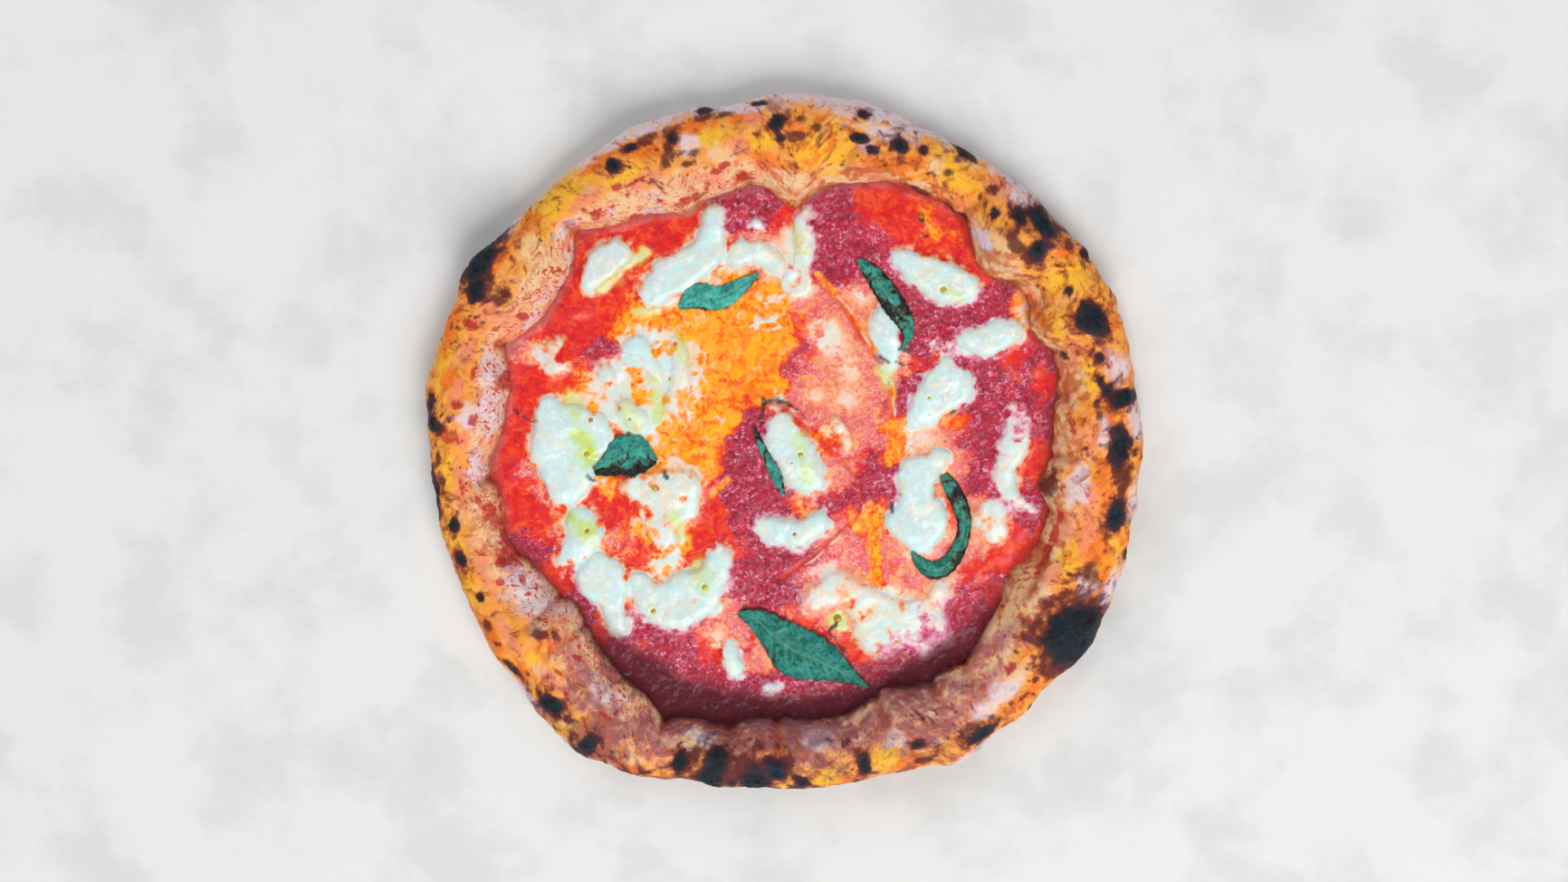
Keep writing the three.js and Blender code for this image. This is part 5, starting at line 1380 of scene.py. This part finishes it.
def topping_finish(name, context, oiled):
    """The finish that sauce and cheese share, as they run into each other.

    oiled: how much cream shows in the thick cheese.
    """
    sauce = context.scene.pizza_sauce
    cheese = context.scene.pizza_cheese
    finish = Finish(name)
    grains = finish.grain(1.7, 6, 0.68, warp=0.8)
    small = finish.grain(3.0, 5, 0.6, warp=0.8)
    blotches = finish.grain(7.0, 5, 0.6, warp=0.8)
    curls = finish.grain(5.0, 3, 0.5, warp=1.6)
    jitter = finish.plus(
        finish.step(grains, 0.3, 0.7, -0.14, 0.14), finish.step(small, 0.3, 0.7, -0.22, 0.22),
    )

    def share(name, low, high, strength=1.0, raggedness=1.0):
        return finish.step(finish.ragged(name, jitter, 0.35, raggedness), low, high, 0.0, strength)

    red = finish.layers(
        sauce.red,
        (sauce.orange, finish.step(blotches, 0.48, 0.64, 0.0, 0.5)),
        (TONES["dark_red"], finish.step(blotches, 0.46, 0.34, 0.0, 0.8)),
        (TONES["deep_red"], finish.step(curls, 0.5, 0.64, 0.0, 0.75)),
        (TONES["light_red"], finish.step(curls, 0.42, 0.32, 0.0, 0.5)),
    )
    # Painted highlights: pink and pale specks standing for light on the wet pulp's grains
    pulp_highlight = finish.times(finish.step(grains, 0.49, 0.64), finish.step(blotches, 0.38, 0.6, 0.1, 1.0))
    pulp_glint = finish.times(finish.step(grains, 0.6, 0.68), finish.step(blotches, 0.42, 0.56))
    pulp = finish.layers(
        sauce.crimson,
        (TONES["wine"], finish.step(small, 0.46, 0.66, 0.0, 0.85)),
        (TONES["bright_pulp"], finish.step(blotches, 0.52, 0.66, 0.0, 0.6)),
        (TONES["dark_pulp"], finish.step(curls, 0.46, 0.34, 0.0, 0.75)),
        (sauce.pink, pulp_highlight),
        (TONES["pulp_glint"], pulp_glint),
    )
    oil = finish.layers(
        sauce.orange,
        (sauce.yellow, finish.step(blotches, 0.36, 0.58)),
        (TONES["red_oil"], finish.step(curls, 0.54, 0.64, 0.0, 0.85)),
        (TONES["pale_oil"], finish.step(curls, 0.42, 0.32, 0.0, 0.6)),
        (TONES["amber_oil"], finish.step(small, 0.48, 0.62, 0.0, 0.7)),
    )
    milk = finish.layers(
        sauce.milk,
        (TONES["milky_red"], finish.step(small, 0.44, 0.64, 0.0, 0.6)),
        (TONES["milky_pink"], finish.step(grains, 0.5, 0.62, 0.0, 0.7)),
        (TONES["milky_orange"], finish.step(blotches, 0.5, 0.64, 0.0, 0.85)),
        (TONES["milky_curl"], finish.step(curls, 0.52, 0.64, 0.0, 0.7)),
    )
    film = finish.layers(
        cheese.fringe,
        (sauce.pink, finish.mark("pulpy")),
        (sauce.yellow, finish.part("oily", 0.7)),
    )
    pale = finish.layers(
        cheese.cream,
        (cheese.blush, finish.step(small, 0.42, 0.62)),
        (TONES["rosy_cheese"], finish.step(finish.mark("pulpy"), 0.2, 0.7, 0.0, 0.8)),
    )
    white = finish.layers(
        cheese.white,
        (cheese.cream, finish.step(blotches, 0.42, 0.62, 0.6 * oiled, 0.55 + 1.1 * oiled)),
        # Painted highlights: whiter patches over the white cheese
        (TONES["cheese_highlight"], finish.step(small, 0.52, 0.62, 0.0, 0.5)),
        (TONES["lilac_cheese"], finish.step(curls, 0.52, 0.68, 0.0, 0.5)),
        (cheese.blush, finish.step(small, 0.44, 0.32, 0.0, 0.25)),
    )
    amber = finish.blend(sauce.orange, sauce.yellow, finish.step(small, 0.42, 0.58))
    colour = finish.layers(
        red,
        (pulp, share("pulpy", 0.3, 0.7)),
        (milk, share("milky", 0.2, 0.8)),
        (TONES["oil_border"], share("oily", 0.12, 0.4)),
        (oil, share("oily", 0.28, 0.72)),
        (film, share("cheesy", 0.16, 0.5, 0.85, 0.5)),
        (pale, share("cheesy", 0.34, 0.64, 0.95, 0.36)),
        (white, share("cheesy", 0.48, 0.8, 1.0, 0.28)),
        (amber, finish.part("amber", 0.9)),
        (cheese.lime, finish.part("lime", pattern=finish.step(small, 0.32, 0.6, 1.0, 0.7))),
        (TONES["slit"], finish.part("slit", 0.9)),
        # Painted highlight along the folds
        (TONES["lip_highlight"], finish.part("lip", 0.8, finish.mark("glint"))),
        # Darker sauce border and painted shade along the rim
        (TONES["baked_edge_and_shade"], finish.part("rimward", 0.7)),
        (TONES["burnt_scrap"], finish.part("scraps", 0.9)),
        # Painted shade over the sauce by the rim on the shaded side
        (TONES["painted_deep_shade"], finish.part("painted_shade", 0.86)),
    )
    wet = finish.step(grains, 0.35, 0.65, 0.18, 0.36)
    rough = finish.plus(finish.plus(wet, finish.part("rimward", 0.3)), finish.part("painted_shade", 0.5))
    loose = finish.times(
        finish.step(finish.mark("cheesy"), 0.3, 0.9, 1.0, 0.1),
        finish.step(finish.mark("pulpy"), 0.1, 0.7, 0.25, 1.0),
    )
    normal = finish.relief(finish.times(grains, loose), 0.4)
    normal = finish.relief(finish.times(small, 0.5), 0.4, normal)
    return finish.close(
        colour, rough, normal, Subsurface_Weight=0.15, Subsurface_Radius=(1.0, 0.5, 0.35),
        Subsurface_Scale=0.001, Coat_Weight=0.2, Coat_Roughness=0.12, Specular_IOR_Level=0.32,
    )


class PIZZA_OT_melt_mozzarella(Operator):
    """Melts each piece of mozzarella over the sauce"""

    bl_idname = "pizza.melt_mozzarella"
    bl_label = "Melt the mozzarella"

    def execute(self, context):
        field = toppings()
        finishes = {
            "mozzarella": topping_finish("mozzarella_white", context, 0.0),
            "oiled_mozzarella": topping_finish("mozzarella_cream", context, 0.35),
        }
        slots = {part["node"]: part["material_slot"] for part in frame["record"]["subparts"]}
        for node, piece in field.pieces.items():
            window = piece["window"]
            kept = whole_cells(piece["inside"] > 0.2)
            bottom = field.sauce[window] - 1.0
            place = (field.x[window], field.y[window])
            points, faces, used, below = closed_sheet(*place, piece["height"], bottom, kept)
            slot = slots[node]
            marks = field.marks_at(used, below, window)
            make_piece(f"{node}_melted", points, faces, marks, finishes[slot], [node])
        return {"FINISHED"}


# Basil

def smooth_along(values, share):
    """A list of values taken smoothly at shares of its length."""
    values = np.asarray(values, dtype=float)
    at = share * (len(values) - 1)
    i = np.minimum(at.astype(int), len(values) - 2)
    t = at - i
    before = values[np.maximum(i - 1, 0)]
    after = values[np.minimum(i + 2, len(values) - 1)]
    slope0 = (values[i + 1] - before) / 2
    slope1 = (after - values[i]) / 2
    return (
        (2 * t**3 - 3 * t**2 + 1) * values[i] + (t**3 - 2 * t**2 + t) * slope0
        + (3 * t**2 - 2 * t**3) * values[i + 1] + (t**3 - t**2) * slope1
    )


class PIZZA_OT_lay_basil(Operator):
    """Lays the basil leaves, with veins and curled, darkened edges"""

    bl_idname = "pizza.lay_basil"
    bl_label = "Lay the basil"

    def execute(self, context):
        settings = context.scene.pizza_basil
        field = toppings()
        ground = field.soft(np.maximum(field.highest, field.soft(field.highest, 1.5)), 1.0)
        for node, leaf in BASIL_LEAVES.items():
            self.lay(node, leaf, field, ground, settings)
        return {"FINISHED"}

    @staticmethod
    def lay(node, leaf, field, ground, settings):
        """One leaf: rows from the stalk to the tip, columns from its right edge to its left."""
        share = np.linspace(0, 1, LEAF_ROWS)[:, None]
        side = np.linspace(-1, 1, LEAF_COLUMNS)[None, :]
        line = np.array(leaf["line"], dtype=float)
        middle = [smooth_along(line[:, axis], share) for axis in (0, 1)]
        direction = [np.gradient(axis, axis=0) for axis in middle]
        length = np.hypot(*direction)
        tangent = [axis / length for axis in direction]
        left = np.maximum(smooth_along(leaf["left"], share), NARROWEST_LEAF)
        right = np.maximum(smooth_along(leaf["right"], share), NARROWEST_LEAF)
        toothed = 1 + 0.05 * np.sin(share * math.pi * leaf["veins"] * 4) * np.abs(side) ** 6
        width = np.where(side < 0, right, left) * side * toothed
        x = middle[0] - tangent[1] * width
        y = middle[1] + tangent[0] * width
        place = (x, y, 0 * x)

        across = np.abs(side) + 0 * share
        slant = share * leaf["veins"] - 0.9 * across
        from_vein = np.abs(slant - np.round(slant)) * 2
        side_vein = np.exp(-((from_vein / 0.16) ** 2)) * (1 - across**3)
        midrib = np.exp(-((width / 0.55) ** 2))
        quilt = np.sqrt(np.clip(from_vein, 0, 1)) * np.clip(across * 3, 0, 1) * (1 - across**4)
        arch = leaf["arch"] * np.sin(math.pi * share) * (1 - side**2) * 0.8
        ripple = 0.6 * layered(place, 7, SEED + 200, 2) + 0.4 * layered(place, 2.6, SEED + 210, 2)
        creases = soft_step(1 - np.abs(layered(place, 6, SEED + 215, 2)), 0.82, 1.0)
        rest = field.at(ground, x, y) + LEAF_LIFT
        top = rest + arch + leaf["curl"] * side**2 + np.maximum(ripple, -0.4)
        top = top + 0.6 * quilt - 0.35 * midrib - 0.12 * side_vein - 0.4 * creases
        bottom = top - settings.thickness / MM * (1 - 0.6 * across**8)

        count = top.size
        number = np.arange(count).reshape(top.shape)
        corners = [number[:-1, 1:], number[1:, 1:], number[1:, :-1], number[:-1, :-1]]
        over = np.stack(corners, axis=2).reshape(-1, 4)
        edges = [number[:-1, 0], number[-1, :-1], number[:0:-1, -1], number[0, :0:-1]]
        loop = np.concatenate(edges)
        following = np.roll(loop, -1)
        wall = np.stack([following + count, loop + count, loop, following], axis=1)
        upper = np.stack([x, y, top], axis=2).reshape(-1, 3)
        lower = np.stack([x, y, bottom], axis=2).reshape(-1, 3)

        burnt = smooth_along(leaf["burnt"], share) + leaf["lean"] * side
        scorched = across**3 * 0.6 + burnt + 0.5 * layered(place, 4, SEED + 220, 3)
        marks = {
            "vein": np.clip(midrib + 0.7 * side_vein, 0, 1),
            "burn": soft_step(scorched + 0.35 * creases - 0.35, 0.15, 0.8),
            "quilt": quilt,
        }
        marks = {mark: np.tile(values.ravel(), 2) for mark, values in marks.items()}
        finish = basil_finish(f"{node}_leaf", settings, leaf["glow"])
        faces = [over, over[:, ::-1] + count, wall]
        points = np.concatenate([upper, lower])
        make_piece(f"{node}_leaf", points, faces, marks, finish, [node])


def basil_finish(name, settings, glow):
    """glow: how much light the oily skin throws back."""
    finish = Finish(name)
    fine = finish.grain(1.2, 4, 0.6)
    soft = finish.grain(6.0, 4, 0.55, warp=0.5)
    wrinkles = finish.grain(3.4, 5, 0.6, warp=1.4)
    burn = finish.part("burn", pattern=finish.step(fine, 0.3, 0.6, 0.6, 1.0))
    # Painted highlight: teal light on the raised parts between the veins
    raised = finish.step(wrinkles, 0.56, 0.4, 0.0, 0.9 * glow)
    colour = finish.layers(
        settings.green,
        (settings.teal, finish.step(soft, 0.4, 0.62, 0.25 * glow, glow)),
        # Painted shade: the wrinkles darkened
        (TONES["leaf_crease_shade"], finish.step(wrinkles, 0.46, 0.66, 0.0, 0.95 - 0.65 * glow)),
        (settings.teal, finish.part("quilt", pattern=raised)),
        (TONES["leaf_vein"], finish.part("vein", 0.4)),
        (settings.wilted, finish.step(burn, 0.1, 0.5, 0.0, 0.75)),
        (settings.burnt, finish.step(burn, 0.3, 0.9)),
    )
    rough = finish.step(fine, 0.3, 0.7, 0.4, 0.58)
    normal = finish.relief(wrinkles, 0.8)
    return finish.close(
        colour, rough, normal, Subsurface_Weight=0.08, Subsurface_Radius=(0.4, 1.0, 0.5),
        Subsurface_Scale=0.0006, Specular_IOR_Level=0.25,
    )


# Olive oil

def dome(x, y, z, radius, rise, rings=5, sides=14):
    """Points and faces of a closed drop with a flat foot."""
    points = [(x, y, z + rise)]
    for ring in range(1, rings + 1):
        turn = 0.5 * math.pi * ring / rings
        reach = radius * math.sin(turn)
        height = z + rise * math.cos(turn)
        for step in range(sides):
            angle = 2 * math.pi * step / sides
            points.append((x + reach * math.cos(angle), y + reach * math.sin(angle), height))
    points.append((x, y, z - 0.2))
    triangles = []
    last = len(points) - 1
    for step in range(sides):
        following = (step + 1) % sides
        triangles.append((0, 1 + step, 1 + following))
        for ring in range(rings - 1):
            a = 1 + ring * sides + step
            b = 1 + ring * sides + following
            triangles.append((a, a + sides, b + sides))
            triangles.append((a, b + sides, b))
        triangles.append((last, last - sides + following, last - sides + step))
    return points, triangles


class PIZZA_OT_drip_oil(Operator):
    """Drips olive oil: drops in the cheese's bubbles and loose droplets on the sauce"""

    bl_idname = "pizza.drip_oil"
    bl_label = "Drip the olive oil"

    def execute(self, context):
        settings = context.scene.pizza_oil
        field = toppings()
        random = np.random.default_rng(SEED)
        drops = list(OIL_BUBBLES)
        while len(drops) < settings.droplets:
            distance = 118 * math.sqrt(random.random())
            turn = 2 * math.pi * random.random()
            radius = 0.35 + 0.9 * random.random() ** 3
            drops.append((distance * math.cos(turn), distance * math.sin(turn), radius))
        points = []
        triangles = []
        for x, y, radius in drops:
            z = float(field.at(field.highest, np.array([x]), np.array([y]))[0])
            drop_points, drop_triangles = dome(x, y, z - 0.12, radius * 0.7, 0.35 * radius)
            triangles += [[corner + len(points) for corner in face] for face in drop_triangles]
            points += drop_points
        faces = [np.array(triangles)]
        finish = oil_finish(settings)
        make_piece("olive_oil_drops", np.array(points), faces, {}, finish)
        return {"FINISHED"}


def oil_finish(settings):
    finish = Finish("olive_oil")
    soft = finish.grain(9.0, 3, 0.5)
    colour = finish.blend(settings.amber, TONES["pale_amber"], finish.step(soft, 0.4, 0.6))
    return finish.close(
        colour, 0.06, Transmission_Weight=0.55, IOR=1.46, Coat_Weight=0.5, Coat_Roughness=0.03,
    )


# Floor, light and view

class PIZZA_OT_set_stage(Operator):
    """Sets the pale floor, the soft light and the view from above"""

    bl_idname = "pizza.set_stage"
    bl_label = "Set the stage"

    def execute(self, context):
        settings = context.scene.pizza_stage
        self.lay_floor(settings)
        self.light()
        self.aim(settings)
        context.scene.view_settings.view_transform = "Standard"
        context.scene.view_settings.look = "None"
        return {"FINISHED"}

    @staticmethod
    def lay_floor(settings):
        mesh = bpy.data.meshes.new("floor")
        corners = [(-1, -1), (1, -1), (1, 1), (-1, 1)]
        points = [(FLOOR_HALF * x, FLOOR_HALF * y, FLOOR_HEIGHT) for x, y in corners]
        mesh.from_pydata(points, [], [(0, 1, 2, 3)])
        finish = Finish("pale_floor")
        blotches = finish.grain(60.0, 5, 0.6)
        colour = finish.blend(settings.floor, TONES["floor_blotch"], finish.step(blotches, 0.45, 0.65))
        mesh.materials.append(finish.close(colour, 0.8))
        floor = bpy.data.objects.new("floor", mesh)
        bpy.context.scene.collection.objects.link(floor)

    @staticmethod
    def light():
        for name, place, size, power, colour in LAMPS:
            data = bpy.data.lights.new(name, "AREA")
            data.size = size
            data.energy = power
            data.color = colour
            lamp = bpy.data.objects.new(name, data)
            lamp.location = place
            lamp.rotation_mode = "QUATERNION"
            lamp.rotation_quaternion = (-Vector(place)).to_track_quat("-Z", "Y")
            bpy.context.scene.collection.objects.link(lamp)
        world = bpy.data.worlds.new("studio")
        world.use_nodes = True
        background = world.node_tree.nodes["Background"]
        background.inputs["Color"].default_value = (*WORLD_COLOUR, 1.0)
        background.inputs["Strength"].default_value = WORLD_STRENGTH
        bpy.context.scene.world = world

    @staticmethod
    def aim(settings):
        data = bpy.data.cameras.new("view")
        data.lens = settings.lens
        distance = settings.width * settings.lens / data.sensor_width
        tilt = settings.view_tilt
        turn = settings.view_turn
        back = Vector((math.sin(turn), math.sin(tilt), math.cos(tilt) * math.cos(turn))).normalized()
        right = Vector((0, 1, 0)).cross(back).normalized()
        up = back.cross(right)
        target = Vector(VIEW_TARGET) * MM
        camera = bpy.data.objects.new("view", data)
        camera.location = target + back * distance
        camera.rotation_mode = "QUATERNION"
        camera.rotation_quaternion = Matrix((right, up, back)).transposed().to_quaternion()
        bpy.context.scene.collection.objects.link(camera)
        bpy.context.scene.camera = camera


class PIZZA_PT_recipe(Panel):
    """Lists the steps of the pizza"""

    bl_idname = "PIZZA_PT_recipe"
    bl_label = "Pizza"
    bl_space_type = "VIEW_3D"
    bl_region_type = "UI"
    bl_category = "Pizza"

    def draw(self, context):
        for step in STEPS:
            self.layout.operator(step.bl_idname)
        for group in SETTINGS:
            settings = getattr(context.scene, group)
            for name in settings.bl_rna.properties.keys():
                if name not in ("rna_type", "name"):
                    self.layout.prop(settings, name)


STEPS = (
    PIZZA_OT_bake_crust,
    PIZZA_OT_spread_sauce,
    PIZZA_OT_melt_mozzarella,
    PIZZA_OT_lay_basil,
    PIZZA_OT_drip_oil,
    PIZZA_OT_set_stage,
)
SETTINGS = {
    "pizza_crust": CrustSettings,
    "pizza_sauce": SauceSettings,
    "pizza_cheese": CheeseSettings,
    "pizza_basil": BasilSettings,
    "pizza_oil": OilSettings,
    "pizza_stage": StageSettings,
}
CLASSES = (*SETTINGS.values(), *STEPS, PIZZA_PT_recipe)


def register():
    for item in CLASSES:
        bpy.utils.register_class(item)
    for name, group in SETTINGS.items():
        setattr(bpy.types.Scene, name, PointerProperty(type=group))


def unregister():
    for name in SETTINGS:
        delattr(bpy.types.Scene, name)
    for item in reversed(CLASSES):
        bpy.utils.unregister_class(item)


def main():
    register()
    bpy.ops.pizza.bake_crust()
    bpy.ops.pizza.spread_sauce()
    bpy.ops.pizza.melt_mozzarella()
    bpy.ops.pizza.lay_basil()
    bpy.ops.pizza.drip_oil()
    bpy.ops.pizza.set_stage()


if __name__ == "__main__":
    main()
